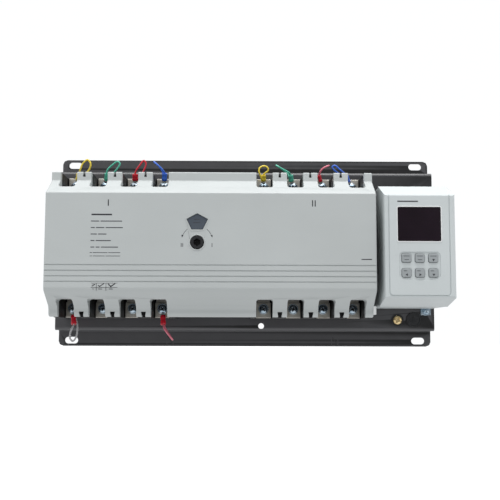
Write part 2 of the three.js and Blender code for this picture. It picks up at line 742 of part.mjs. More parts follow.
function controllerBracket() {
  const { left, right, bottom, top, screwZ } = BRACKET;
  const rear = PLATE.deckFront - GAP;
  const strip = box(left, right, rear - 2, rear, bottom, top);
  const hole = rodY((left + right) / 2, screwZ, 2.3, rear + 1, rear - 3, 16);
  return cut(strip, hole);
}

/** Pan-head screw along Y with its head in front of a sheet. */
function panScrew(x, z, headBack, headFront, headRadius, shankRadius, end) {
  const head = new THREE.LatheGeometry([[0, headFront], [headRadius * 0.7, headFront],
    [headRadius, headFront + 1], [headRadius, headBack], [shankRadius, headBack],
    [shankRadius, end], [0, end]].map(([r, y]) => new THREE.Vector2(r, y)), 14);
  head.translate(x, 0, z);
  const body = solid(head);
  const cross = [[0.5, headRadius * 0.55], [headRadius * 0.55, 0.5]].map(([a, b]) => box(x - a,
    x + a, headFront - 1, headFront + 1.2, z - b, z + b));
  return cut(body, ...cross);
}

// ---- sensing leads

/**
 * Each lead is a ring lug on a pad, a crimp sleeve and a wire looped back to the sleeve's foot.
 * `sleeve` is the sleeve's far end and `wire` the points that the loop passes through.
 */
const LEADS = {
  lead_normal_line_1: {
    breaker: "normal", end: ENDS.line, pole: 0, look: FINISH.wireYellow, radius: 2.1,
    sleeve: [-170, -54, 75],
    wire: [[-168.5, -55.5, 79], [-165.8, -56.5, 85.2], [-161, -57, 88.9], [-157.9, -56.5, 84.8],
      [-160.3, -55.5, 77.5], [-165.3, -54, 73.8], [-168.8, -52.6, 69.4]],
  },
  lead_normal_line_2: {
    breaker: "normal", end: ENDS.line, pole: 1, look: FINISH.wireGreen, radius: 1.6,
    sleeve: [-142, -54, 75.5],
    wire: [[-140.8, -55, 79], [-136.3, -56, 83.4], [-130.4, -56.5, 87.4], [-128.2, -56.5, 84.9],
      [-133, -55.5, 77.5], [-138.2, -54, 72.5], [-141.4, -52.3, 68.6]],
  },
  lead_normal_line_3: {
    breaker: "normal", end: ENDS.line, pole: 2, look: FINISH.wireRed, radius: 2.2,
    sleeve: [-112.9, -54, 75],
    wire: [[-111.8, -55, 78.2], [-108.2, -56, 83.4], [-103.8, -56.5, 88.4], [-101.6, -56.5, 85.2],
      [-104.6, -55.5, 76.8], [-108.4, -54, 72], [-111.4, -52.4, 68.4]],
  },
  lead_normal_line_4: {
    breaker: "normal", end: ENDS.line, pole: 3, look: FINISH.wireBlue, radius: 2.2,
    sleeve: [-82.8, -54, 76],
    wire: [[-84.4, -57, 78.6], [-88.5, -58.5, 82.6], [-92.8, -58, 86.4], [-93.4, -54.8, 87.3],
      [-89, -51.6, 83.8], [-84.9, -50.6, 77.6], [-83.1, -51.2, 69.5]],
  },
  lead_reserve_line_1: {
    breaker: "reserve", end: ENDS.line, pole: 0, look: FINISH.wireYellow, radius: 2.2,
    sleeve: [18, -54, 74.5],
    wire: [[19.6, -55, 76.2], [22.9, -56, 79], [21.8, -56.5, 82.3], [18.1, -57, 83.2],
      [14.4, -57, 81.4], [13.6, -57, 77.8], [15, -56, 73.8], [16.4, -54, 69.8]],
  },
  lead_reserve_line_2: {
    breaker: "reserve", end: ENDS.line, pole: 1, look: FINISH.wireGreen, radius: 2.2,
    sleeve: [45.7, -54, 74.5],
    wire: [[44, -56.6, 76.6], [38.5, -58.2, 79.4], [32.4, -58, 83], [31.2, -55, 84.4],
      [36.6, -51.8, 81.4], [43, -50.8, 76.4], [46.6, -51, 69.5]],
  },
  lead_reserve_line_3: {
    breaker: "reserve", end: ENDS.line, pole: 2, look: FINISH.wireRed, radius: 1.6,
    sleeve: [75.1, -54, 74.5],
    wire: [[75.7, -56.6, 77.4], [78.8, -58.2, 81], [83.6, -58, 83.3], [85, -55, 84.4],
      [80.4, -51.8, 82.9], [76.2, -50.8, 77.6], [76.2, -51, 69.5]],
  },
  lead_reserve_line_4: {
    breaker: "reserve", end: ENDS.line, pole: 3, look: FINISH.wireBlue, radius: 2.1,
    sleeve: [102.8, -54, 73.6],
    wire: [[100.4, -55.4, 76.4], [95.4, -56.2, 80.8], [91, -56.6, 84.2], [88.3, -56.2, 82.6],
      [91.4, -55.4, 78.9], [97, -54, 75.2], [102.2, -52.4, 71.4]],
  },
  lead_normal_load_1: {
    breaker: "normal", end: ENDS.load, pole: 0, look: FINISH.wireRed, radius: 2.2,
    sleeve: [-171.4, -55, -78],
    wire: [[-172.4, -57, -81.5], [-174.4, -57.5, -87.4], [-174.2, -57.5, -92.2],
      [-171.5, -57.5, -94.6], [-168.6, -57, -91], [-167.5, -56, -84], [-168, -54.4, -77.4],
      [-170.4, -52.6, -70.6]],
  },
  lead_normal_load_4: {
    breaker: "normal", end: ENDS.load, pole: 3, look: FINISH.wireRed, radius: 2.2,
    sleeve: [-82, -55, -78],
    wire: [[-80.8, -58.2, -81.6], [-77.6, -60, -86.2], [-73, -60, -91.8], [-72.4, -56.8, -92.8],
      [-76.8, -53.4, -87], [-81.2, -52, -79.4], [-82.6, -51.6, -71]],
  },
};

function lead({ breaker, end, pole, radius, sleeve, wire }) {
  const x = poleX(breaker, pole);
  const z = end * TERMINAL.screwZ;
  const back = TERMINAL.front - GAP;
  const ring = cut(rodY(x, z, 5.4, back, back - 0.9, 12), rodY(x, z, 2.9, back + 1, back - 2, 8));
  const sleeveEnd = new THREE.Vector3(...sleeve);
  const outward = new THREE.Vector3(sleeveEnd.x - x, 0, sleeveEnd.z - z).normalize();
  const ringFront = new THREE.Vector3(x, back - 0.6, z);
  const barrelStart = ringFront.clone().addScaledVector(outward, 4.2);
  const sleeveStart = ringFront.clone().addScaledVector(outward, 6.5);
  sleeveStart.y -= 2;
  const insideSleeve = sleeveStart.clone().lerp(sleeveEnd, 0.6);
  const points = [insideSleeve, sleeveEnd, ...wire.map((point) => new THREE.Vector3(...point))];
  const loop = new THREE.CatmullRomCurve3(points, false, "centripetal");
  return joined(ring, tube(new THREE.LineCurve3(barrelStart, sleeveEnd), 1.1, 1),
    tube(new THREE.LineCurve3(sleeveStart, sleeveEnd), radius, 1), tube(loop, 0.9, 13));
}

/** A round-sided tube along a curve. */
function tube(curve, radius, steps) {
  const section = new THREE.Shape();
  const sides = 8;
  for (let side = 0; side < sides; side += 1) {
    const angle = (side / sides) * Math.PI * 2;
    const point = [radius * Math.cos(angle), radius * Math.sin(angle)];
    if (side === 0) {
      section.moveTo(...point);
    } else {
      section.lineTo(...point);
    }
  }
  return solid(new THREE.ExtrudeGeometry(section, { steps, extrudePath: curve }));
}

// ---------------------------------------------------------------- placing everything

add("base_plate", basePlate(), FINISH.blackPaint);
for (const breaker of Object.keys(CENTRE_X)) {
  add(`breaker_case_${breaker}`, breakerCase(breaker), FINISH.blackMoulding);
  add(`breaker_lid_${breaker}`, breakerLid(breaker), FINISH.blackMoulding);
  add(`toggle_${breaker}`, toggle(breaker), FINISH.darkPlastic);
  add(`contact_bar_${breaker}`, contactBar(breaker), FINISH.silverContact);
  add(`slide_${breaker}`, slide(breaker), FINISH.zincSteel);
  for (const [endName, end] of Object.entries(ENDS)) {
    for (const pole of POLES.keys()) {
      const name = `terminal_${breaker}_${endName}_${pole + 1}`;
      add(name, terminal(poleX(breaker, pole), end), FINISH.tinnedCopper);
    }
  }
}
add("mechanism_frame", mechanismFrame(), FINISH.zincSteel);
add("shaft_bush", shaftBush(), FINISH.brass);
add("operating_shaft", operatingShaft(), FINISH.darkPlastic);
add("drive_gear", driveGear(), FINISH.gearSteel);
add("motor_pinion", motorPinion(), FINISH.brass);
add("drive_motor", driveMotor(), FINISH.zincSteel);
add("indicator_disc", indicatorDisc(), FINISH.indicator);
add("limit_switch_block", limitSwitchBlock(), FINISH.darkPlastic);
add("main_cover", mainCover(), FINISH.coverPlastic);
add("indicator_window", indicatorWindow(), FINISH.windowSmoke);
add("controller_case", controllerCase(), FINISH.controllerPlastic);
add("controller_front", controllerFront(), FINISH.controllerPlastic);
add("controller_screen", controllerScreen(), FINISH.screenGlass);
add("controller_board", controllerBoard(), FINISH.boardGreen);
add("controller_bracket", controllerBracket(), FINISH.zincSteel);
keyCentres().forEach((centre, index) => add(`key_${index + 1}`, key(centre), FINISH.keyPlastic));
add("controller_bracket_screw", panScrew((BRACKET.left + BRACKET.right) / 2, BRACKET.screwZ,
  PLATE.deckFront - 2 * GAP - 2, PLATE.deckFront - 2 * GAP - 4.2, 2.9, 2, -18), FINISH.zincSteel);
for (const [name, design] of Object.entries(LEADS)) {
  add(name, lead(design), design.look);
}
add("earth_screw", panScrew(EARTH_SCREW.x, EARTH_SCREW.z, PLATE.deckFront - GAP,
  EARTH_SCREW.headFront, EARTH_SCREW.headRadius, 2.4, -17), FINISH.brass);

export default device;
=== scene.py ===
"""Automatic transfer switch: the visible pieces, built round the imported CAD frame.

Everything is in metres. The front faces -Y, +X is to the right and +Z is up. The origin is on
the rear face of the lower mounting flange, midway between its two slots.
"""

import logging
import math
from dataclasses import dataclass, field
from enum import Enum
from typing import Callable, Iterable, Optional, Sequence

import bmesh
import bpy
from mathutils import Matrix, Vector


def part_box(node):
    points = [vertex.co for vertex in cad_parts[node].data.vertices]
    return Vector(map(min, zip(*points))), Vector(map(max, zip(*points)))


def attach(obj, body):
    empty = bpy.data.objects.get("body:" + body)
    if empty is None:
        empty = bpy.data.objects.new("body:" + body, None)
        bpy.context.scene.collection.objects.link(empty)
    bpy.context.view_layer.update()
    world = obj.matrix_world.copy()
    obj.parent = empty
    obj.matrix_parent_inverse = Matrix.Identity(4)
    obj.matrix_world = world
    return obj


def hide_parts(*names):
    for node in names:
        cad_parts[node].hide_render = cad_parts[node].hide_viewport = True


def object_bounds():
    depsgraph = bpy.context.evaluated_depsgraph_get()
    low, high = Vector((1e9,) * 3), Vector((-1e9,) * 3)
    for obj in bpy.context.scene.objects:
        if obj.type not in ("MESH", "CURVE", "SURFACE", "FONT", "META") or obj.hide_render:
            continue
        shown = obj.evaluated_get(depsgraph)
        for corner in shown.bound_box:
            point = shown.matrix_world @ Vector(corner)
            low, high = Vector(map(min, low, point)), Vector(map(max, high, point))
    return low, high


Point = tuple[float, float, float]
Pair = tuple[float, float]

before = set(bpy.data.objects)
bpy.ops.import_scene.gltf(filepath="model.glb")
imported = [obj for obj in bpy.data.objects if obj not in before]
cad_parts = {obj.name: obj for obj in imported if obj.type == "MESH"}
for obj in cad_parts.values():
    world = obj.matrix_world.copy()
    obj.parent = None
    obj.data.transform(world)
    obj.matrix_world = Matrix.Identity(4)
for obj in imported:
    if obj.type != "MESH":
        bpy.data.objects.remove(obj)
CAD_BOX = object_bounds()

logging.basicConfig(level=logging.INFO, format="%(name)s: %(message)s")
log = logging.getLogger("transfer_switch")

SEED = 7
CHASSIS = "chassis"
BREAKERS = ("normal", "reserve")
ENDS = ("line", "load")
POLES = (1, 2, 3, 4)


# ------------------------------------------------------------------ shader sheets


class NodeSheet:
    """A material's node tree, with short calls for the nodes that the finishes share."""

    def __init__(self, name: str) -> None:
        """Starts an empty material.

        Args:
            name: the material's name.
        """
        self.material = bpy.data.materials.new(name)
        self.material.use_nodes = True
        self.tree = self.material.node_tree
        self.tree.nodes.clear()
        self.output = self.tree.nodes.new("ShaderNodeOutputMaterial")
        self.surface = self.tree.nodes.new("ShaderNodeBsdfPrincipled")
        self.link(self.surface.outputs["BSDF"], self.output.inputs["Surface"])
        self.coordinates = self.tree.nodes.new("ShaderNodeTexCoord").outputs["Object"]

    def link(self, source: bpy.types.NodeSocket, target: bpy.types.NodeSocket) -> None:
        """Joins two sockets."""
        self.tree.links.new(source, target)

    def stretched(self, scale: Point) -> bpy.types.NodeSocket:
        """Object coordinates stretched along each axis.

        Args:
            scale: how many pattern units a metre holds along X, Y and Z.

        Returns:
            The stretched coordinates' socket.
        """
        mapping = self.tree.nodes.new("ShaderNodeMapping")
        mapping.inputs["Scale"].default_value = scale
        self.link(self.coordinates, mapping.inputs["Vector"])
        return mapping.outputs["Vector"]

    def noise(self, scale: float, detail: float = 3.0,
              vector: Optional[bpy.types.NodeSocket] = None) -> bpy.types.NodeSocket:
        """Fractal noise on Object coordinates.

        Args:
            scale: cells per metre, or per unit of the vector given.
            detail: the number of octaves.
            vector: coordinates to use in place of the piece's own.

        Returns:
            The noise factor's socket.
        """
        node = self.tree.nodes.new("ShaderNodeTexNoise")
        node.inputs["Scale"].default_value = scale
        node.inputs["Detail"].default_value = detail
        self.link(vector or self.coordinates, node.inputs["Vector"])
        return node.outputs["Fac"]

    def ramp(self, factor: bpy.types.NodeSocket, low: Pair, high: Pair) -> bpy.types.NodeSocket:
        """A linear ramp between two (input, output) pairs, held at both ends.

        Args:
            factor: the socket that drives it.
            low: the lower pair.
            high: the upper pair.

        Returns:
            The result's socket.
        """
        node = self.tree.nodes.new("ShaderNodeMapRange")
        node.inputs["From Min"].default_value, node.inputs["To Min"].default_value = low
        node.inputs["From Max"].default_value, node.inputs["To Max"].default_value = high
        self.link(factor, node.inputs["Value"])
        return node.outputs["Result"]

    def blend(self, factor: bpy.types.NodeSocket, first: Point,
              second: Point) -> bpy.types.NodeSocket:
        """A colour between two, chosen by a factor.

        Args:
            factor: 0 for the first colour and 1 for the second.
            first: linear red, green and blue.
            second: linear red, green and blue.

        Returns:
            The colour's socket.
        """
        node = self.tree.nodes.new("ShaderNodeMix")
        node.data_type = "RGBA"
        colours = [socket for socket in node.inputs if socket.type == "RGBA"]
        colours[0].default_value = (*first, 1.0)
        colours[1].default_value = (*second, 1.0)
        self.link(factor, node.inputs[0])
        return next(socket for socket in node.outputs if socket.type == "RGBA")

    def bump(self, height: bpy.types.NodeSocket, distance: float, strength: float,
             under: Optional[bpy.types.NodeSocket] = None) -> bpy.types.NodeSocket:
        """A bump map.

        Args:
            height: the height's socket, from 0 to 1.
            distance: the full height in metres.
            strength: how much of it shows.
            under: another bump's normal to lie on.

        Returns:
            The normal's socket.
        """
        node = self.tree.nodes.new("ShaderNodeBump")
        node.inputs["Distance"].default_value = distance
        node.inputs["Strength"].default_value = strength
        self.link(height, node.inputs["Height"])
        if under is not None:
            self.link(under, node.inputs["Normal"])
        return node.outputs["Normal"]

    def edges(self) -> bpy.types.NodeSocket:
        """How sharply the surface turns outwards, near 0.5 where it is flat."""
        return self.tree.nodes.new("ShaderNodeNewGeometry").outputs["Pointiness"]

    def put(self, **inputs: float | Point | bpy.types.NodeSocket) -> None:
        """Sets or links the shader's inputs; an underscore stands for a space.

        Args:
            inputs: a constant or a socket for each input.
        """
        for key, value in inputs.items():
            socket = self.surface.inputs[key.replace("_", " ")]
            if isinstance(value, bpy.types.NodeSocket):
                self.link(value, socket)
            elif socket.type == "RGBA":
                socket.default_value = (*value, 1.0)
            else:
                socket.default_value = value


def shade(colour: Point, factor: float) -> Point:
    """A colour made darker or lighter.

    Args:
        colour: linear red, green and blue.
        factor: what each is multiplied by.

    Returns:
        The new colour.
    """
    return tuple(min(1.0, channel * factor) for channel in colour)


# ------------------------------------------------------------------ finishes


@dataclass(frozen=True)
class MouldedPlastic:
    """Injection-moulded plastic: faint flow mottling and a spark-eroded grain."""

    name: str
    colour: Point
    roughness: float = 0.42
    mottle: float = 0.03
    grain: float = 1500.0
    grain_depth: float = 0.00006
    grain_strength: float = 0.25

    def material(self) -> bpy.types.Material:
        """Builds the plastic's material.

        Returns:
            The material.
        """
        sheet = NodeSheet(self.name)
        flow = sheet.noise(14.0, 4.0, sheet.stretched((0.6, 1.0, 1.4)))
        colour = sheet.blend(sheet.ramp(flow, (0.3, 0.0), (0.7, 1.0)),
                             shade(self.colour, 1 - self.mottle),
                             shade(self.colour, 1 + self.mottle))
        grain = sheet.noise(self.grain, 2.0)
        rough = sheet.ramp(sheet.noise(60.0, 3.0), (0.3, self.roughness - 0.05),
                           (0.7, self.roughness + 0.07))
        normal = sheet.bump(grain, self.grain_depth, self.grain_strength)
        sheet.put(Base_Color=colour, Roughness=rough, Normal=normal, IOR=1.5)
        return sheet.material


@dataclass(frozen=True)
class PowderCoat:
    """Black powder coat on steel: orange peel, dust and slightly polished edges."""

    name: str
    colour: Point
    worn: Point

    def material(self) -> bpy.types.Material:
        """Builds the coat's material.

        Returns:
            The material.
        """
        sheet = NodeSheet(self.name)
        cloud = sheet.ramp(sheet.noise(26.0, 5.0), (0.35, 0.0), (0.75, 1.0))
        colour = sheet.blend(cloud, self.colour, shade(self.colour, 1.5))
        edge = sheet.ramp(sheet.edges(), (0.53, 0.0), (0.6, 1.0))
        rough = sheet.ramp(sheet.noise(90.0, 4.0), (0.3, 0.3), (0.7, 0.4))
        peel = sheet.bump(sheet.noise(900.0, 2.0), 0.00008, 0.35)
        mix = sheet.tree.nodes.new("ShaderNodeMix")
        mix.data_type = "RGBA"
        colours = [socket for socket in mix.inputs if socket.type == "RGBA"]
        sheet.link(colour, colours[0])
        colours[1].default_value = (*self.worn, 1.0)
        sheet.link(edge, mix.inputs[0])
        worn = next(socket for socket in mix.outputs if socket.type == "RGBA")
        sheet.put(Base_Color=worn, Roughness=rough, Normal=peel, Specular_IOR_Level=0.6)
        return sheet.material


@dataclass(frozen=True)
class PlatedMetal:
    """Plated or turned metal: a tint that wanders, fine brushing and dulled patches."""

    name: str
    colour: Point
    tint: Point
    roughness: float = 0.28
    brushing: Point = (900.0, 60.0, 900.0)

    def material(self) -> bpy.types.Material:
        """Builds the metal's material.

        Returns:
            The material.
        """
        sheet = NodeSheet(self.name)
        patches = sheet.ramp(sheet.noise(160.0, 4.0), (0.38, 0.0), (0.68, 1.0))
        colour = sheet.blend(patches, self.colour, self.tint)
        lines = sheet.noise(1.0, 3.0, sheet.stretched(self.brushing))
        rough = sheet.ramp(lines, (0.3, self.roughness - 0.08), (0.7, self.roughness + 0.12))
        normal = sheet.bump(lines, 0.00002, 0.3)
        sheet.put(Base_Color=colour, Metallic=1.0, Roughness=rough, Normal=normal)
        return sheet.material


@dataclass(frozen=True)
class Insulation:
    """Soft PVC on a wire or sleeve: saturated, waxy and slightly see-through."""

    name: str
    colour: Point
    clear: float = 0.0
    roughness: float = 0.38

    def material(self) -> bpy.types.Material:
        """Builds the insulation's material.

        Returns:
            The material.
        """
        sheet = NodeSheet(self.name)
        streak = sheet.ramp(sheet.noise(420.0, 3.0), (0.35, 0.0), (0.65, 1.0))
        colour = sheet.blend(streak, shade(self.colour, 0.88), shade(self.colour, 1.1))
        rough = sheet.ramp(sheet.noise(700.0, 2.0), (0.3, self.roughness - 0.06),
                           (0.7, self.roughness + 0.08))
        normal = sheet.bump(sheet.noise(1400.0, 2.0), 0.00003, 0.3)
        sheet.put(Base_Color=colour, Roughness=rough, Normal=normal,
                  Transmission_Weight=self.clear, Coat_Weight=0.25, Coat_Roughness=0.2)
        return sheet.material


@dataclass(frozen=True)
class Glazing:
    """A dark window: tinted body, faint internal cloud and a hard polished face."""

    name: str
    colour: Point
    glow: Point
    clear: float = 0.0
    roughness: float = 0.08

    def material(self) -> bpy.types.Material:
        """Builds the window's material.

        Returns:
            The material.
        """
        sheet = NodeSheet(self.name)
        cloud = sheet.ramp(sheet.noise(30.0, 2.0), (0.3, 0.0), (0.75, 1.0))
        colour = sheet.blend(cloud, self.colour, self.glow)
        rough = sheet.ramp(sheet.noise(300.0, 2.0), (0.3, self.roughness),
                           (0.7, self.roughness + 0.05))
        sheet.put(Base_Color=colour, Roughness=rough, Transmission_Weight=self.clear, IOR=1.52)
        return sheet.material


@dataclass(frozen=True)
class PadInk:
    """Pad-printed ink: uneven density and a dry, slightly broken edge."""

    name: str
    colour: Point

    def material(self) -> bpy.types.Material:
        """Builds the ink's material.

        Returns:
            The material.
        """
        sheet = NodeSheet(self.name)
        density = sheet.ramp(sheet.noise(1300.0, 3.0), (0.35, 0.0), (0.7, 1.0))
        colour = sheet.blend(density, self.colour, shade(self.colour, 1.7))
        rough = sheet.ramp(sheet.noise(500.0, 2.0), (0.3, 0.5), (0.7, 0.65))
        sheet.put(Base_Color=colour, Roughness=rough)
        return sheet.material


class Finish(Enum):
    """The object's finishes, each with the record's slot that it belongs to."""

    BLACK_PAINT = ("black_paint",
                   PowderCoat("black_powder_coat", (0.009, 0.009, 0.0095), (0.07, 0.07, 0.075)))
    BLACK_MOULDING = ("black_moulding",
                      MouldedPlastic("black_thermoset", (0.008, 0.008, 0.009), 0.5, 0.12))
    DARK_PLASTIC = ("dark_plastic", MouldedPlastic("black_nylon", (0.02, 0.021, 0.023), 0.34, 0.1))
    COVER = ("cover_plastic", MouldedPlastic("cover_abs", (0.475, 0.502, 0.5)))
    CONTROLLER = ("controller_plastic", MouldedPlastic("controller_abs", (0.565, 0.605, 0.61)))
    KEY = ("key_plastic", MouldedPlastic("key_caps", (0.32, 0.345, 0.355), 0.5))
    WHITE_PLASTIC = ("cover_plastic", MouldedPlastic("white_nylon", (0.75, 0.76, 0.76), 0.4))
    INDICATOR = ("indicator_white", MouldedPlastic("indicator_disc_face", (0.7, 0.71, 0.72), 0.5))
    TINNED = ("tinned_copper",
              PlatedMetal("tinned_copper_bar", (0.72, 0.70, 0.64), (0.58, 0.55, 0.49), 0.42))
    ZINC = ("zinc_steel", PlatedMetal("bright_zinc", (0.60, 0.70, 0.78), (0.36, 0.50, 0.62), 0.26))
    SHEET = ("zinc_steel",
             PlatedMetal("plain_zinc_sheet", (0.62, 0.65, 0.68), (0.54, 0.57, 0.61), 0.34))
    MOTOR = ("motor_steel", PlatedMetal("drawn_can", (0.5, 0.5, 0.5), (0.42, 0.43, 0.45), 0.34))
    GEAR = ("gear_steel",
            PlatedMetal("oiled_gear_steel", (0.33, 0.34, 0.35), (0.22, 0.23, 0.25), 0.3))
    BRASS = ("brass", PlatedMetal("turned_brass", (0.92, 0.74, 0.42), (0.74, 0.54, 0.26), 0.3))
    SILVER = ("silver_contact",
              PlatedMetal("silver_bronze", (0.66, 0.56, 0.40), (0.5, 0.38, 0.22), 0.33))
    SMOKED = ("smoked_window",
              Glazing("smoked_pane", (0.085, 0.105, 0.135), (0.13, 0.155, 0.19), 0.3, 0.18))
    SCREEN = ("screen_glass", Glazing("screen_pane", (0.009, 0.0035, 0.008), (0.016, 0.007, 0.015)))
    BOARD = ("board_green", MouldedPlastic("solder_resist", (0.01, 0.10, 0.045), 0.3, 0.15))
    YELLOW = ("wire_yellow", Insulation("pvc_yellow", (0.80, 0.62, 0.05)))
    GREEN = ("wire_green", Insulation("pvc_green", (0.08, 0.47, 0.33)))
    RED = ("wire_red", Insulation("pvc_red", (0.62, 0.012, 0.03)))
    BLUE = ("wire_blue", Insulation("pvc_blue", (0.04, 0.15, 0.66)))
    PINK = ("wire_red", Insulation("pvc_pink", (0.66, 0.16, 0.22)))
    CLEAR = ("wire_red", Insulation("pvc_clear", (0.55, 0.54, 0.55), 0.35))
    PRINT = ("dark_plastic", PadInk("printed_marks", (0.02, 0.02, 0.025)))
    PALE_PRINT = ("dark_plastic", PadInk("faint_printed_marks", (0.045, 0.048, 0.055)))

    def __init__(self, slot: str, recipe: MouldedPlastic) -> None:
        """Keeps the slot and the recipe.

        Args:
            slot: the record's material slot.
            recipe: the finish that builds the material.
        """
        self.slot = slot
        self.recipe = recipe

    def material(self) -> bpy.types.Material:
        """The finish's material, built once."""
        return bpy.data.materials.get(self.recipe.name) or self.recipe.material()


# ------------------------------------------------------------------ outlines and solids


def filleted(corners: Sequence[tuple[float, float, float]], steps: int = 6) -> list[Pair]:
    """A closed outline whose corners are rounded.

    Args:
        corners: (u, v, radius) for each corner, in order.
        steps: the number of chords in each rounded corner.

    Returns:
        The outline's points.
    """
    points: list[Pair] = []
    for index, (u, v, radius) in enumerate(corners):
        here = Vector((u, v))
        before = Vector(corners[index - 1][:2]) - here
        after = Vector(corners[(index + 1) % len(corners)][:2]) - here
        if radius <= 0:
            points.append((u, v))
            continue
        half = before.angle(after) / 2
        bisector = (before.normalized() + after.normalized()).normalized()
        middle = here + bisector * radius / math.sin(half)
        start = here + before.normalized() * radius / math.tan(half) - middle
        end = here + after.normalized() * radius / math.tan(half) - middle
        sweep = math.atan2(start.x * end.y - start.y * end.x, start.dot(end))
        for step in range(steps + 1):
            turned = Matrix.Rotation(sweep * step / steps, 2) @ start
            points.append((middle.x + turned.x, middle.y + turned.y))
    return points


def rectangle(u: float, v: float, width: float, height: float, radius: float,
              steps: int = 6) -> list[Pair]:
    """A rectangle about (u, v) with rounded corners.

    Args:
        u: the centre's first coordinate.
        v: the centre's second coordinate.
        width: the size along the first axis.
        height: the size along the second axis.
        radius: the corners' radius.
        steps: the number of chords in each corner.

    Returns:
        The outline's points.
    """
    a, b = width / 2, height / 2
    return filleted([(u - a, v - b, radius), (u + a, v - b, radius), (u + a, v + b, radius),
                     (u - a, v + b, radius)], steps)


def circle(u: float, v: float, radius: float, sides: int = 40) -> list[Pair]:
    """A round outline about (u, v)."""
    return [(u + radius * math.cos(math.tau * side / sides),
             v + radius * math.sin(math.tau * side / sides)) for side in range(sides)]


class Axis(Enum):
    """The way an outline is carried, and where its two coordinates and its depth go."""

    X = 0
    Y = 1
    Z = 2

    def place(self, u: float, v: float, depth: float) -> Vector:
        """The point of an outline coordinate pair at a depth along the axis.

        Args:
            u: the outline's first coordinate.
            v: the outline's second coordinate.
            depth: how far along the axis the point is.

        Returns:
            The point.
        """
        if self is Axis.X:
            return Vector((depth, u, v))
        if self is Axis.Y:
            return Vector((u, depth, v))
        return Vector((u, v, depth))


def outward(bm: bmesh.types.BMesh) -> bmesh.types.BMesh:
    """Joins doubles and turns every face outwards.

    Args:
        bm: the solid, which is changed.

    Returns:
        The same solid.
    """
    bmesh.ops.remove_doubles(bm, verts=bm.verts, dist=1e-7)
    bmesh.ops.recalc_face_normals(bm, faces=bm.faces)
    return bm


def prism(points: Sequence[Pair], axis: Axis, start: float, end: float) -> bmesh.types.BMesh:
    """A solid that carries an outline along an axis.

    Args:
        points: the outline; (y, z) for X, (x, z) for Y and (x, y) for Z.
        axis: the way it is carried.
        start: the depth of its first cap.
        end: the depth of its last cap.

    Returns:
        The closed solid.
    """
    bm = bmesh.new()
    rings = [[bm.verts.new(axis.place(u, v, depth)) for u, v in points] for depth in (start, end)]
    bm.faces.new(rings[0])
    bm.faces.new(rings[1])
    for index in range(len(points)):
        bm.faces.new([rings[0][index - 1], rings[0][index], rings[1][index], rings[1][index - 1]])
    return outward(bm)


def block(low: Point, high: Point) -> bmesh.types.BMesh:
    """A box between two corners."""
    corners = [(low[0], low[1]), (high[0], low[1]), (high[0], high[1]), (low[0], high[1])]
    return prism(corners, Axis.Z, low[2], high[2])


def lathed(profile: Sequence[Pair], centre: Pair, sides: int = 40) -> bmesh.types.BMesh:
    """A turned solid round an axis along Y.

    Args:
        profile: (radius, y) from end to end; a radius of 0 closes an end.
        centre: the axis's x and z.
        sides: the number of sides.

    Returns:
        The closed solid.
    """
    bm = bmesh.new()
    rings = []
    for radius, y in profile:
        if radius <= 0:
            rings.append([bm.verts.new((centre[0], y, centre[1]))] * sides)
        else:
            rings.append([bm.verts.new((x, y, z)) for x, z in circle(*centre, radius, sides)])
    closed = profile[0][0] > 0
    for first, second in zip(rings, rings[1:] + (rings[:1] if closed else [])):
        for side in range(sides):
            loop = [first[side - 1], first[side], second[side], second[side - 1]]
            unique = list(dict.fromkeys(loop))
            if len(unique) > 2:
                bm.faces.new(unique)
    return outward(bm)


def merged(parts: Iterable[bmesh.types.BMesh]) -> bmesh.types.BMesh:
    """Several solids in one mesh, each still closed on its own.

    Args:
        parts: the solids, which are freed.

    Returns:
        The mesh.
    """
    whole = bmesh.new()
    for part in parts:
        mesh = bpy.data.meshes.new("part")
        part.to_mesh(mesh)
        part.free()
        whole.from_mesh(mesh)
        bpy.data.meshes.remove(mesh)
    return whole


def temporary(bm: bmesh.types.BMesh) -> bpy.types.Object:
    """A scratch object from a bmesh, which is freed.

    Args:
        bm: the solid, which is freed.

    Returns:
        The scratch object.
    """
    mesh = bpy.data.meshes.new("scratch")
    bm.to_mesh(mesh)
    bm.free()
    scratch = bpy.data.objects.new("scratch", mesh)
    bpy.context.scene.collection.objects.link(scratch)
    return scratch


def evaluated(scratch: bpy.types.Object, *others: bpy.types.Object) -> bmesh.types.BMesh:
    """The mesh that a scratch object's modifiers make; the scratch objects are removed.

    Args:
        scratch: the object whose modifiers are worked out.
        others: further scratch objects to remove.

    Returns:
        The solid that comes out.
    """
    bpy.context.view_layer.update()
    graph = bpy.context.evaluated_depsgraph_get()
    mesh = bpy.data.meshes.new_from_object(scratch.evaluated_get(graph))
    bm = bmesh.new()
    bm.from_mesh(mesh)
    bpy.data.meshes.remove(mesh)
    for used in (scratch, *others):
        old = used.data
        bpy.data.objects.remove(used)
        bpy.data.meshes.remove(old)
    return bm


def combined(body: bmesh.types.BMesh, tools: Sequence[bmesh.types.BMesh],
             operation: str) -> bmesh.types.BMesh:
    """One solid cut by, joined to or kept within others.

    Args:
        body: the solid to start from.
        tools: the other solids.
        operation: DIFFERENCE, UNION or INTERSECT.

    Returns:
        The result.
    """
    target = temporary(body)
    tool = temporary(merged(tools))
    modifier = target.modifiers.new("combine", "BOOLEAN")
    modifier.operation = operation
    modifier.solver = "EXACT"
    modifier.use_self = operation == "UNION"
    modifier.object = tool
    result = evaluated(target, tool)
    bmesh.ops.remove_doubles(result, verts=result.verts, dist=1e-6)
    return result


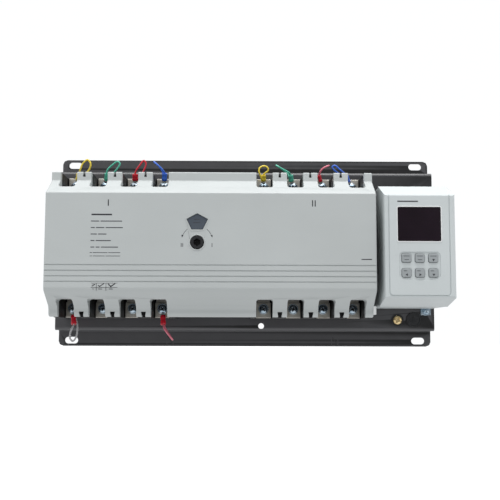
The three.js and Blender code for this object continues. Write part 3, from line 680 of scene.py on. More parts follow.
def flattened(bm: bmesh.types.BMesh, recut: bool = True) -> bmesh.types.BMesh:
    """Joins the faces of each flat area, and recuts them so that easing holds.

    Args:
        bm: the solid, which is changed.
        recut: whether the joined faces are cut into triangles; a wide plate stays in whole faces.

    Returns:
        The same solid.
    """
    bmesh.ops.dissolve_limit(bm, angle_limit=math.radians(0.5), use_dissolve_boundaries=False,
                             verts=bm.verts, edges=bm.edges, delimit=set())
    wide = [face for face in bm.faces if recut and len(face.verts) > 4]
    bmesh.ops.triangulate(bm, faces=wide, quad_method="BEAUTY", ngon_method="BEAUTY")
    return bm


def welded(node: str) -> bmesh.types.BMesh:
    """A copy of a CAD node's solid with its triangles joined into flat faces.

    Args:
        node: the CAD node's name.

    Returns:
        The copy.
    """
    bm = bmesh.new()
    bm.from_mesh(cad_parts[node].data)
    bmesh.ops.remove_doubles(bm, verts=bm.verts, dist=2e-6)
    return flattened(bm)


@dataclass(frozen=True)
class Rounding:
    """How a solid's sharp edges are eased, and which of them are."""

    radius: float = 0.0004
    segments: int = 3
    angle: float = 40.0
    share: Callable[[Vector, Vector], float] = field(default=lambda a, b: 1.0)
    clamp: bool = True

    def apply(self, bm: bmesh.types.BMesh) -> bmesh.types.BMesh:
        """Eases the edges.

        Args:
            bm: the solid, which is freed.

        Returns:
            The eased solid.
        """
        layer = bm.edges.layers.float.get("bevel_weight_edge") or bm.edges.layers.float.new(
            "bevel_weight_edge")
        for edge in bm.edges:
            sharp = edge.is_manifold and edge.calc_face_angle(0.0) > math.radians(self.angle)
            edge[layer] = self.share(edge.verts[0].co, edge.verts[1].co) if sharp else 0.0
        scratch = temporary(bm)
        modifier = scratch.modifiers.new("ease", "BEVEL")
        modifier.width = self.radius
        modifier.segments = self.segments
        modifier.limit_method = "WEIGHT"
        modifier.use_clamp_overlap = self.clamp
        modifier.miter_outer = "MITER_ARC"
        return evaluated(scratch)


def show(name: str, bm: bmesh.types.BMesh, finish: Finish, body: str = CHASSIS,
         replaces: Sequence[str] = (), crease: float = 34.0) -> bpy.types.Object:
    """Turns a solid into a finished piece of the object.

    Args:
        name: the piece's name.
        bm: its solid, which is freed.
        finish: its finish.
        body: the CAD body that it rides on.
        replaces: the CAD nodes that it stands for.
        crease: the angle in degrees past which an edge is shaded sharp.

    Returns:
        The piece.
    """
    mesh = bpy.data.meshes.new(name)
    bm.to_mesh(mesh)
    bm.free()
    mesh.materials.clear()
    mesh.materials.append(finish.material())
    for polygon in mesh.polygons:
        polygon.material_index = 0
    mesh.shade_smooth()
    mesh.set_sharp_from_angle(angle=math.radians(crease))
    shown = bpy.data.objects.new(name, mesh)
    bpy.context.scene.collection.objects.link(shown)
    weights = shown.modifiers.new("even_shading", "WEIGHTED_NORMAL")
    weights.keep_sharp = True
    return settle(shown, finish, body, replaces)


def settle(shown: bpy.types.Object, finish: Finish, body: str = CHASSIS,
           replaces: Sequence[str] = ()) -> bpy.types.Object:
    """Parents a piece to the empty of the body it rides on, hides the CAD nodes it stands for and
    logs its finish.
        body: the CAD body that it rides on.
        replaces: the CAD nodes that it stands for.

    Returns:
        The piece.
    """
    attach(shown, body)
    if replaces:
        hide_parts(*replaces)
    log.info("%s rides on %s in %s", shown.name, body, finish.name.lower())
    return shown


# ------------------------------------------------------------------ repeated pieces


class ScatterTree:
    """A Geometry Nodes tree that puts a template on every point, turned by a seeded amount."""

    NAME = "scatter_on_points"

    def __init__(self) -> None:
        """Builds the tree once."""
        self.tree = bpy.data.node_groups.get(self.NAME) or self._build()

    def _build(self) -> bpy.types.NodeTree:
        """Builds the tree.

        Returns:
            The node tree, with its inputs named.
        """
        tree = bpy.data.node_groups.new(self.NAME, "GeometryNodeTree")
        for name, kind in (("Points", "NodeSocketGeometry"), ("Template", "NodeSocketObject"),
                           ("Size", "NodeSocketFloat"), ("Largest Turn", "NodeSocketFloat"),
                           ("Seed", "NodeSocketInt"), ("Finish", "NodeSocketMaterial")):
            tree.interface.new_socket(name=name, in_out="INPUT", socket_type=kind)
        tree.interface.new_socket(name="Pieces", in_out="OUTPUT", socket_type="NodeSocketGeometry")
        given = tree.nodes.new("NodeGroupInput")
        result = tree.nodes.new("NodeGroupOutput")
        template = tree.nodes.new("GeometryNodeObjectInfo")
        turn = tree.nodes.new("FunctionNodeRandomValue")
        about = tree.nodes.new("ShaderNodeCombineXYZ")
        place = tree.nodes.new("GeometryNodeInstanceOnPoints")
        real = tree.nodes.new("GeometryNodeRealizeInstances")
        dress = tree.nodes.new("GeometryNodeSetMaterial")
        turn_value = next(s for s in turn.outputs if s.type == "VALUE" and s.enabled)
        turn_high = [s for s in turn.inputs if s.name == "Max" and s.type == "VALUE"][0]
        turn_low = [s for s in turn.inputs if s.name == "Min" and s.type == "VALUE"][0]
        turn_low.default_value = 0.0
        for source, target in (
                (given.outputs["Points"], place.inputs["Points"]),
                (given.outputs["Template"], template.inputs["Object"]),
                (template.outputs["Geometry"], place.inputs["Instance"]),
                (given.outputs["Largest Turn"], turn_high),
                (given.outputs["Seed"], turn.inputs["Seed"]),
                (turn_value, about.inputs["Y"]),
                (about.outputs["Vector"], place.inputs["Rotation"]),
                (given.outputs["Size"], place.inputs["Scale"]),
                (place.outputs["Instances"], real.inputs["Geometry"]),
                (real.outputs["Geometry"], dress.inputs["Geometry"]),
                (given.outputs["Finish"], dress.inputs["Material"]),
                (dress.outputs["Geometry"], result.inputs["Pieces"])):
            tree.links.new(source, target)
        return tree

    def grow(self, name: str, template: bmesh.types.BMesh, points: Sequence[Point],
             finish: Finish, body: str = CHASSIS, turn: float = 0.0,
             seed: int = SEED) -> bpy.types.Object:
        """Puts a template on each point and settles the result as one piece.

        Args:
            name: the piece's name.
            template: the solid that is repeated, drawn about the origin.
            points: where the copies go.
            finish: their finish.
            body: the body that they ride on.
            turn: the largest random turn about Y, in radians.
            seed: the seed of those turns.

        Returns:
            The piece.
        """
        pattern = temporary(template)
        cloud = bmesh.new()
        for point in points:
            cloud.verts.new(point)
        carrier = temporary(cloud)
        modifier = carrier.modifiers.new("scatter", "NODES")
        modifier.node_group = self.tree
        values = {"Template": pattern, "Size": 1.0, "Largest Turn": turn, "Seed": seed,
                  "Finish": finish.material()}
        for socket in self.tree.interface.items_tree:
            if socket.in_out == "INPUT" and socket.name in values:
                modifier[socket.identifier] = values[socket.name]
        return show(name, evaluated(carrier, pattern), finish, body)


def screw_head(head: float, height: float, washer: float, recess: float) -> bmesh.types.BMesh:
    """A pan-head screw with its washer, seen from the front, its seat at the origin.

    Args:
        head: the head's radius.
        height: the head's height over the washer.
        washer: the washer's radius, or 0 for none.
        recess: the half length of the cross recess.

    Returns:
        The solid.
    """
    seat = -0.0009 if washer else 0.0
    dome = [(0, seat - height), (head * 0.45, seat - height * 0.985),
            (head * 0.74, seat - height * 0.88), (head * 0.92, seat - height * 0.64),
            (head, seat - height * 0.3), (head, seat), (0, seat)]
    body = lathed(dome, (0, 0), 32)
    slot_half = recess * 0.24
    floor = seat - height * 0.3
    mouth = seat - height * 1.2
    arms = [prism(filleted([(-a, -b, 0.0), (a, -b, 0.0), (a, b, 0.0), (-a, b, 0.0)]), Axis.Y,
                  floor, mouth) for a, b in ((recess, slot_half), (slot_half, recess))]
    well = lathed([(0, floor + height * 0.12), (recess * 0.5, floor), (recess * 0.62, mouth),
                   (0, mouth)], (0, 0), 12)
    cross = combined(arms[0], [arms[1], well], "UNION")
    parts = [Rounding(0.00018, 2, 35.0).apply(flattened(combined(body, [cross], "DIFFERENCE")))]
    if washer:
        ring = [(head * 0.55, 0.0), (washer - 0.0003, 0.0), (washer, -0.0003), (washer, -0.0006),
                (washer - 0.0003, seat + 0.00002), (head * 0.55, seat + 0.00002)]
        parts.append(lathed(ring, (0, 0), 32))
    return merged(parts)


# ------------------------------------------------------------------ sub-assemblies


@dataclass
class Camera:
    """The view: a little below the device's middle, looking slightly up at its front."""

    place: Point = (-0.0029, -0.9013, 0.0053)
    yaw: float = 0.0089
    pitch: float = 0.1014
    roll: float = 0.0027
    lens: float = 60.57

    def build(self) -> None:
        """Makes the camera and gives it to the scene."""
        ahead = Vector((math.sin(self.yaw) * math.cos(self.pitch),
                        math.cos(self.yaw) * math.cos(self.pitch), math.sin(self.pitch)))
        level = Vector((math.cos(self.yaw), -math.sin(self.yaw), 0.0))
        upward = level.cross(ahead)
        right = level * math.cos(self.roll) + upward * math.sin(self.roll)
        top = upward * math.cos(self.roll) - level * math.sin(self.roll)
        data = bpy.data.cameras.new("camera")
        data.lens = self.lens
        data.sensor_width = 36.0
        data.clip_start = 0.01
        camera = bpy.data.objects.new("camera", data)
        turn = Matrix((right, top, -ahead)).transposed().to_4x4()
        camera.matrix_world = Matrix.Translation(self.place) @ turn
        bpy.context.scene.collection.objects.link(camera)
        bpy.context.scene.camera = camera


@dataclass
class Studio:
    """White surround: a pale floor, an even sky and one large soft light overhead."""

    floor_z: float = -0.32
    floor_half: float = 30.0
    sky: float = 0.84
    dim_front: float = 0.16
    key_place: Point = (0.05, -0.36, 1.95)
    key_size: float = 1.5
    key_power: float = 39.0

    def build(self) -> None:
        """Makes the floor, the sky and the lights."""
        bpy.context.scene.view_settings.view_transform = "Standard"
        self._floor()
        self._sky()
        self._light("overhead", self.key_place, self.key_size, self.key_power)

    def _floor(self) -> None:
        """Makes the pale floor, which doesn't colour the device from below."""
        floor = temporary(prism(circle(0.0, 0.0, self.floor_half, 64), Axis.Z,
                                self.floor_z - 0.01, self.floor_z))
        floor.name = "floor"
        sheet = NodeSheet("pale_floor")
        paper = sheet.ramp(sheet.noise(3.0, 4.0), (0.3, 0.0), (0.7, 1.0))
        sheet.put(Base_Color=sheet.blend(paper, (0.86, 0.86, 0.86), (0.9, 0.9, 0.9)),
                  Roughness=0.9, Emission_Color=(1.0, 1.0, 1.0), Emission_Strength=0.6)
        floor.data.materials.append(sheet.material)
        floor.visible_diffuse = False
        floor.visible_glossy = False

    def _sky(self) -> None:
        """Makes the sky: pure white to look at, and unlit behind the camera in reflections."""
        world = bpy.data.worlds.new("sky")
        world.use_nodes = True
        bpy.context.scene.world = world
        nodes, links = world.node_tree.nodes, world.node_tree.links
        nodes.clear()
        path = nodes.new("ShaderNodeLightPath")
        seen, lit, mirrored = (self._background(nodes, strength) for strength in
                               (1.02, self.sky, self.sky))
        along = nodes.new("ShaderNodeVectorMath")
        along.operation = "DOT_PRODUCT"
        along.inputs[1].default_value = (0.0, -1.0, 0.0)
        fade = nodes.new("ShaderNodeMapRange")
        fade.interpolation_type = "SMOOTHSTEP"
        for name, value in (("From Min", 0.82), ("From Max", 0.985), ("To Min", self.sky),
                            ("To Max", self.dim_front)):
            fade.inputs[name].default_value = value
        links.new(nodes.new("ShaderNodeTexCoord").outputs["Generated"], along.inputs[0])
        links.new(along.outputs["Value"], fade.inputs["Value"])
        links.new(fade.outputs["Result"], mirrored.inputs["Strength"])
        shader = lit.outputs["Background"]
        for ray, other in (("Is Glossy Ray", mirrored), ("Is Camera Ray", seen)):
            mix = nodes.new("ShaderNodeMixShader")
            links.new(path.outputs[ray], mix.inputs["Fac"])
            links.new(shader, mix.inputs[1])
            links.new(other.outputs["Background"], mix.inputs[2])
            shader = mix.outputs["Shader"]
        links.new(shader, nodes.new("ShaderNodeOutputWorld").inputs["Surface"])

    def _background(self, nodes: bpy.types.Nodes, strength: float) -> bpy.types.Node:
        """A white background node of a strength.

        Args:
            nodes: the world's nodes.
            strength: how bright it is.

        Returns:
            The node.
        """
        background = nodes.new("ShaderNodeBackground")
        background.inputs["Color"].default_value = (0.98, 0.99, 1.0, 1.0)
        background.inputs["Strength"].default_value = strength
        return background

    def _light(self, name: str, place: Point, size: float, power: float) -> None:
        """Makes a square soft light that faces the device.

        Args:
            name: the light's name.
            place: where it hangs.
            size: its side in metres.
            power: its power in watts.
        """
        data = bpy.data.lights.new(name, "AREA")
        data.size = size
        data.energy = power
        light = bpy.data.objects.new(name, data)
        middle = (Vector(CAD_BOX[0]) + Vector(CAD_BOX[1])) / 2
        aim = (middle - Vector(place)).to_track_quat("-Z", "Y")
        light.matrix_world = Matrix.Translation(place) @ aim.to_matrix().to_4x4()
        bpy.context.scene.collection.objects.link(light)


@dataclass(frozen=True)
class LeadRoute:
    """One voltage-sensing lead: where it is fixed, its colours and the way its wire loops."""

    name: str
    terminal: str
    sleeve_finish: Finish
    wire_finish: Finish
    sleeve_radius: float
    sleeve_end: Point
    loop: tuple[Point, ...]


LEAD_ROUTES = (
    LeadRoute("lead_normal_line_1", "terminal_normal_line_1", Finish.YELLOW, Finish.YELLOW,
              0.0021, (-0.1700, -0.0540, 0.1690),
              ((-0.1685, -0.0555, 0.1730), (-0.1658, -0.0565, 0.1792), (-0.1610, -0.0570, 0.1829),
               (-0.1579, -0.0565, 0.1788), (-0.1603, -0.0555, 0.1715), (-0.1653, -0.0540, 0.1678),
               (-0.1688, -0.0526, 0.1634))),
    LeadRoute("lead_normal_line_2", "terminal_normal_line_2", Finish.GREEN, Finish.GREEN,
              0.0016, (-0.1420, -0.0540, 0.1695),
              ((-0.1408, -0.0550, 0.1730), (-0.1363, -0.0560, 0.1774), (-0.1304, -0.0565, 0.1814),
               (-0.1282, -0.0565, 0.1789), (-0.1330, -0.0555, 0.1715), (-0.1382, -0.0540, 0.1665),
               (-0.1414, -0.0523, 0.1626))),
    LeadRoute("lead_normal_line_3", "terminal_normal_line_3", Finish.RED, Finish.RED,
              0.0022, (-0.1129, -0.0540, 0.1690),
              ((-0.1118, -0.0550, 0.1722), (-0.1082, -0.0560, 0.1774), (-0.1038, -0.0565, 0.1824),
               (-0.1016, -0.0565, 0.1792), (-0.1046, -0.0555, 0.1708), (-0.1084, -0.0540, 0.1660),
               (-0.1114, -0.0524, 0.1624))),
    LeadRoute("lead_normal_line_4", "terminal_normal_line_4", Finish.BLUE, Finish.BLUE,
              0.0022, (-0.0828, -0.0540, 0.1700),
              ((-0.0844, -0.0570, 0.1726), (-0.0885, -0.0585, 0.1766), (-0.0928, -0.0580, 0.1804),
               (-0.0934, -0.0548, 0.1813), (-0.0890, -0.0516, 0.1778), (-0.0849, -0.0506, 0.1716),
               (-0.0831, -0.0512, 0.1635))),
    LeadRoute("lead_reserve_line_1", "terminal_reserve_line_1", Finish.YELLOW, Finish.YELLOW,
              0.0022, (0.0180, -0.0540, 0.1685),
              ((0.0196, -0.0550, 0.1702), (0.0229, -0.0560, 0.1730), (0.0218, -0.0565, 0.1763),
               (0.0181, -0.0570, 0.1772), (0.0144, -0.0570, 0.1754), (0.0136, -0.0570, 0.1718),
               (0.0150, -0.0560, 0.1678), (0.0164, -0.0540, 0.1638))),
    LeadRoute("lead_reserve_line_2", "terminal_reserve_line_2", Finish.GREEN, Finish.GREEN,
              0.0022, (0.0457, -0.0540, 0.1685),
              ((0.0440, -0.0566, 0.1706), (0.0385, -0.0582, 0.1734), (0.0324, -0.0580, 0.1770),
               (0.0312, -0.0550, 0.1784), (0.0366, -0.0518, 0.1754), (0.0430, -0.0508, 0.1704),
               (0.0466, -0.0510, 0.1635))),
    LeadRoute("lead_reserve_line_3", "terminal_reserve_line_3", Finish.RED, Finish.PINK,
              0.0016, (0.0751, -0.0540, 0.1685),
              ((0.0757, -0.0566, 0.1714), (0.0788, -0.0582, 0.1750), (0.0836, -0.0580, 0.1773),
               (0.0850, -0.0550, 0.1784), (0.0804, -0.0518, 0.1769), (0.0762, -0.0508, 0.1716),
               (0.0762, -0.0510, 0.1635))),
    LeadRoute("lead_reserve_line_4", "terminal_reserve_line_4", Finish.BLUE, Finish.BLUE,
              0.0021, (0.1028, -0.0540, 0.1676),
              ((0.1004, -0.0554, 0.1704), (0.0954, -0.0562, 0.1748), (0.0910, -0.0566, 0.1782),
               (0.0883, -0.0562, 0.1766), (0.0914, -0.0554, 0.1729), (0.0970, -0.0540, 0.1692),
               (0.1022, -0.0524, 0.1654))),
    LeadRoute("lead_normal_load_1", "terminal_normal_load_1", Finish.RED, Finish.CLEAR,
              0.0022, (-0.1714, -0.0550, 0.0160),
              ((-0.1724, -0.0570, 0.0125), (-0.1744, -0.0575, 0.0066), (-0.1742, -0.0575, 0.0018),
               (-0.1715, -0.0575, -0.0006), (-0.1686, -0.0570, 0.0030), (-0.1675, -0.0560, 0.0100),
               (-0.1680, -0.0544, 0.0166), (-0.1704, -0.0526, 0.0234))),
    LeadRoute("lead_normal_load_4", "terminal_normal_load_4", Finish.RED, Finish.PINK,
              0.0022, (-0.0820, -0.0550, 0.0160),
              ((-0.0808, -0.0582, 0.0124), (-0.0776, -0.0600, 0.0078), (-0.0730, -0.0600, 0.0022),
               (-0.0724, -0.0568, 0.0012), (-0.0768, -0.0534, 0.0070), (-0.0812, -0.0520, 0.0146),
               (-0.0826, -0.0516, 0.0230))),
)


@dataclass
class SensingLead:
    """A ring lug, its crimp sleeve and a thin wire that loops back to the sleeve's foot."""

    route: LeadRoute
    wire_radius: float = 0.0009
    screw_offset: float = 0.0619
    ring_radius: float = 0.0054
    hole_radius: float = 0.0029
    ring_thickness: float = 0.0009
    seat: float = 0.0003
    shrink: float = 1.2

    def __post_init__(self) -> None:
        """Works out the lug's seat from the terminal that it is screwed to."""
        low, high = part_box(self.route.terminal)
        plate_low, plate_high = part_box("base_plate")
        middle = (plate_low.z + plate_high.z) / 2
        end = 1 if (low.z + high.z) / 2 > middle else -1
        self.screw = Vector(((low.x + high.x) / 2, 0, middle + end * self.screw_offset))
        self.seat_y = low.y + self._pad_step() - self.seat
        target = Vector(self.route.sleeve_end)
        self.outward = Vector((target.x - self.screw.x, 0, target.z - self.screw.z)).normalized()
        start = Vector((self.screw.x, self.seat_y - 0.0006, self.screw.z)) + self.outward * 0.0065
        self.sleeve_start = start + Vector((0, -0.002, 0))
        self.sleeve_end = target

    def _pad_step(self) -> float:
        """How far the pad's front lies behind the terminal's foremost point."""
        return 0.0011 if self.route.terminal.rsplit("_", 2)[1] == "line" else 0.0

    def build(self) -> None:
        """Builds and settles the wire first, then the sleeve and the lug."""
        wire = self._wire()
        sleeve = show(f"{self.route.name}_sleeve", self._sleeve(), self.route.sleeve_finish)
        lug = show(f"{self.route.name}_lug", self._lug(), Finish.TINNED)

    def _wire(self) -> bpy.types.Object:
        """The wire as a round curve from inside the sleeve, out, round and back.

        Returns:
            The wire's piece.
        """
        inside = self.sleeve_start.lerp(self.sleeve_end, 0.6)
        points = [inside, self.sleeve_end, *(Vector(point) for point in self.route.loop)]
        smooth = catmull_rom(points, 7)
        data = bpy.data.curves.new(f"{self.route.name}_wire", "CURVE")
        data.dimensions = "3D"
        data.bevel_depth = self.wire_radius
        data.bevel_resolution = 3
        data.use_fill_caps = True
        spline = data.splines.new("POLY")
        spline.points.add(len(smooth) - 1)
        for spline_point, point in zip(spline.points, smooth):
            spline_point.co = (*point, 1.0)
        spline.use_smooth = True
        data.materials.append(self.route.wire_finish.material())
        wire = bpy.data.objects.new(f"{self.route.name}_wire", data)
        bpy.context.scene.collection.objects.link(wire)
        return settle(wire, self.route.wire_finish, CHASSIS, [self.route.name])

    def _sleeve(self) -> bmesh.types.BMesh:
        """The heat-shrunk sleeve: waisted where it grips the barrel, open at its wire end.

        Returns:
            The sleeve's solid.
        """
        radius = self.route.sleeve_radius * self.shrink
        length = (self.sleeve_end - self.sleeve_start).length
        stations = ((0.0, 0.62), (0.03, 0.8), (0.12, 0.93), (0.3, 1.0), (0.42, 0.9), (0.55, 0.88),
                    (0.68, 0.97), (0.86, 1.0), (0.96, 0.98), (1.0, 0.9), (0.99, 0.66), (0.9, 0.6))
        profile = [(0.0, 0.0)] + [(share * radius, at * length) for at, share in stations]
        profile.append((0.0, 0.9 * length))
        body = lathed(profile, (0, 0), 24)
        turn = Vector((0, 1, 0)).rotation_difference(self.sleeve_end - self.sleeve_start)
        flat = Matrix.Diagonal((1.06, 1.0, 0.92, 1.0))
        body.transform(Matrix.Translation(self.sleeve_start) @ turn.to_matrix().to_4x4() @ flat)
        return outward(body)

    def _lug(self) -> bmesh.types.BMesh:
        """The ring, its tongue and the barrel that the sleeve covers.

        Returns:
            The lug's solid.
        """
        outer, inner, seat = self.ring_radius, self.hole_radius, self.seat_y
        front = seat - self.ring_thickness
        ease = 0.00015
        ring = lathed([(inner, seat), (outer - ease, seat), (outer, seat - ease),
                       (outer, front + ease), (outer - ease, front), (inner, front)],
                      (self.screw.x, self.screw.z), 36)
        side = Vector((self.outward.z, 0, -self.outward.x)) * 0.0021
        root = Vector((self.screw.x, 0, self.screw.z)) + self.outward * (outer - 0.0012)
        tip = root + self.outward * 0.0038
        tongue = bmesh.new()
        rings = []
        for spot, depth in ((root, seat), (tip, seat - 0.0014)):
            low = [spot - side, spot + side]
            rings.append([tongue.verts.new((p.x, y, p.z)) for p, y in (
                (low[0], depth), (low[1], depth), (low[1], depth - self.ring_thickness),
                (low[0], depth - self.ring_thickness))])
        tongue.faces.new(rings[0])
        tongue.faces.new(rings[1])
        for index in range(4):
            tongue.faces.new([rings[0][index - 1], rings[0][index], rings[1][index],
                              rings[1][index - 1]])
        return merged([ring, Rounding(0.0002, 2).apply(outward(tongue))])


def catmull_rom(points: Sequence[Vector], steps: int) -> list[Vector]:
    """A smooth line through points, with the spacing that keeps it free of loops.

    Args:
        points: the points that it passes through.
        steps: the stretches between each two.

    Returns:
        The line's points.
    """
    ends = [points[0] * 2 - points[1], *points, points[-1] * 2 - points[-2]]
    line = []
    for p0, p1, p2, p3 in zip(ends, ends[1:], ends[2:], ends[3:]):
        t0 = 0.0
        t1 = t0 + math.sqrt((p1 - p0).length)
        t2 = t1 + math.sqrt((p2 - p1).length)
        t3 = t2 + math.sqrt((p3 - p2).length)
        for step in range(steps):
            t = t1 + (t2 - t1) * step / steps
            a1 = p0.lerp(p1, (t - t0) / (t1 - t0))
            a2 = p1.lerp(p2, (t - t1) / (t2 - t1))
            a3 = p2.lerp(p3, (t - t2) / (t3 - t2))
            b1 = a1.lerp(a2, (t - t0) / (t2 - t0))
            b2 = a2.lerp(a3, (t - t1) / (t3 - t1))
            line.append(b1.lerp(b2, (t - t1) / (t2 - t1)))
    return [*line, points[-1]]


@dataclass
class BasePlate:
    """The bent steel plate with its two slotted flanges, stamped marks and rear fixings."""

    sheet: float = 0.002
    bend: float = 0.0014
    deck_half: float = 0.0835
    corner_cut: float = 0.005
    slot_inset: float = 0.0135
    slot_z: float = 0.094
    slot_size: Pair = (0.014, 0.007)
    deck_hole: tuple[float, float, float] = (0.0167, -0.0788, 0.003)
    bracket_screw_z: float = -0.0637
    earth_screw: Pair = (0.1588, -0.0722)
    earth_disc: Pair = (0.1756, -0.0717)

    def __post_init__(self) -> None:
        """Reads the plate's limits from its CAD node."""
        self.low, self.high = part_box("base_plate")
        self.middle = (self.low.z + self.high.z) / 2
        self.deck_front = self.low.y

    def build(self) -> None:
        """Builds the plate and what is fixed straight to it."""
        show("base_plate_coated", self._plate(), Finish.BLACK_PAINT, replaces=["base_plate"])
        show("stamped_marks", self._stamped_marks(), Finish.BLACK_PAINT)
        self._earth_point()
        self._rear_fixings()

    def _section(self) -> list[Pair]:
        """The hat section with its bends, as (y, z).

        Returns:
            The section's points.
        """
        t, inner = self.sheet, self.bend
        outer = inner + t
        top, front, deck = self.high.z - self.middle, self.deck_front, self.deck_half
        edge = 0.0003
        half = [(0.0, top, edge), (0.0, deck - t, outer), (front + t, deck - t, inner)]
        skin = [(front, deck, outer), (-t, deck, inner), (-t, top, edge)]
        rear = half + [(y, -z, r) for y, z, r in reversed(half)]
        face = [(y, -z, r) for y, z, r in reversed(skin)] + skin
        return [(y, z + self.middle) for y, z in filleted(rear + face, 8)]

    def _plate(self) -> bmesh.types.BMesh:
        """The hat section cut at its corners, slots and holes.

        Returns:
            The plate's solid.
        """
        plate = prism(self._section(), Axis.X, self.low.x, self.high.x)
        width, height = self.high.x, self.high.z - self.middle
        tools = []
        for sx in (-1, 1):
            for sz in (-1, 1):
                cut = self.corner_cut
                far = 0.004
                points = [(width + far, height + far), (width - cut, height + far),
                          (width - cut, height), (width - cut * 0.29, height - cut * 0.29),
                          (width, height - cut), (width + far, height - cut)]
                tools.append(prism([(x * sx, z * sz + self.middle) for x, z in points], Axis.Y,
                                   -0.006, 0.004))
                slot = rectangle(sx * (width - self.slot_inset), self.middle + sz * self.slot_z,
                                 *self.slot_size, self.slot_size[1] / 2 * 0.999, 12)
                tools.append(prism(slot, Axis.Y, -0.006, 0.004))
        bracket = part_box("controller_bracket")
        holes = [self.deck_hole, (*self.earth_screw, 0.0027),
                 ((bracket[0].x + bracket[1].x) / 2, self.bracket_screw_z, 0.0023)]
        for x, z, radius in holes:
            tools.append(prism(circle(x, self.middle + z, radius, 28), Axis.Y,
                               self.deck_front - 0.004, self.deck_front + 0.006))
        return Rounding(0.0004, 3, 42.0).apply(
            flattened(combined(plate, tools, "DIFFERENCE"), recut=False))

    def _stamped_marks(self) -> bmesh.types.BMesh:
        """Two small neutral-bar marks raised on the lower flange.

        Returns:
            The marks' solid.
        """
        height, stroke, proud = 0.0085, 0.0008, 0.00025
        z = self.middle - self.slot_z
        parts = []
        for x in (-0.0795, 0.0955):
            for shift in (-0.0034, 0.0034):
                parts.append(block((x + shift - stroke / 2, -self.sheet - proud, z - height / 2),
                                   (x + shift + stroke / 2, -self.sheet + 0.0001, z + height / 2)))
            slash = [(x - 0.0034, z + height / 2), (x - 0.0024, z + height / 2),
                     (x + 0.0034, z - height / 2), (x + 0.0024, z - height / 2)]
            parts.append(prism(slash, Axis.Y, -self.sheet - proud * 0.9, -self.sheet + 0.0001))
        return merged([Rounding(0.0002, 2).apply(part) for part in parts])

    def _earth_point(self) -> None:
        """The brass screw with its dark washer, and the embossed earth disc beside it."""
        x, z = self.earth_screw[0], self.middle + self.earth_screw[1]
        head = screw_head(0.0047, 0.0032, 0.0, 0.0031)
        head.transform(Matrix.Translation((x, self.deck_front - 0.0004, z))
                       @ Matrix.Rotation(0.5, 4, "Y"))
        shank = lathed([(0, self.deck_front), (0.0024, self.deck_front), (0.0024, -0.0177),
                        (0.0021, -0.017), (0, -0.017)], (x, z), 24)
        show("earth_screw_turned", merged([head, shank]), Finish.BRASS, replaces=["earth_screw"])
        front = self.deck_front
        washer = lathed([(0.0049, front), (0.0063, front), (0.0065, front - 0.0003),
                         (0.0063, front - 0.0007), (0.0049, front - 0.0005)], (x, z), 40)
        show("earth_screw_washer", washer, Finish.DARK_PLASTIC)
        x, z = self.earth_disc[0], self.middle + self.earth_disc[1]
        disc = lathed([(0, front + 0.0002), (0.0075, front + 0.0002), (0.0078, front - 0.0004),
                       (0.0074, front - 0.0013), (0.0066, front - 0.0013), (0.0063, front - 0.0007),
                       (0, front - 0.0007)], (x, z), 48)
        bars = [((-0.0004, 0.0004), (0.0004, 0.0042))]
        bars += [((-half, half), (-0.0008 * row - 0.0008, -0.0008 * row - 0.00015))
                 for row, half in ((0, 0.0038), (1.6, 0.0025), (3.2, 0.0012))]
        symbol = [block((x + a, front - 0.0014, z + c), (x + b, front - 0.0006, z + d))
                  for (a, b), (c, d) in bars]
        show("earth_disc", merged([disc, *[Rounding(0.00015, 2).apply(s) for s in symbol]]),
             Finish.DARK_PLASTIC)

    def _rear_fixings(self) -> None:
        """The nuts behind the deck that hold the breakers, the drive and the controller."""
        spots = []
        for breaker in BREAKERS:
            low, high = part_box(f"breaker_case_{breaker}")
            spots += [(x, self.deck_front + self.sheet, self.middle + side * 0.052)
                      for x in (low.x + 0.0285, high.x - 0.0285) for side in (-1, 1)]
        low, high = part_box("mechanism_frame")
        spots += [(x, self.deck_front + self.sheet, self.middle + side * 0.022)
                  for x in (low.x + 0.006, high.x - 0.006) for side in (-1, 1)]
        low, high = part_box("controller_case")
        spots += [(x, self.deck_front + self.sheet, self.middle + z)
                  for x in (low.x + 0.012, high.x - 0.012) for z in (-0.046, 0.046)]
        ScatterTree().grow("rear_nuts", self._nut(), spots, Finish.ZINC, turn=1.0)

    def _nut(self) -> bmesh.types.BMesh:
        """A thin hexagon nut on a washer, facing backwards from the origin.

        Returns:
            The nut's solid.
        """
        washer = lathed([(0, 0), (0.0045, 0), (0.0045, 0.0006), (0.0042, 0.0008), (0, 0.0008)],
                        (0, 0), 28)
        nut = prism(circle(0, 0, 0.0038, 6), Axis.Y, 0.0008, 0.0030)
        tail = lathed([(0, 0.003), (0.0018, 0.003), (0.0018, 0.0033), (0.0015, 0.0035),
                       (0, 0.0035)], (0, 0), 20)
        return merged([washer, Rounding(0.0003, 2).apply(nut), tail])


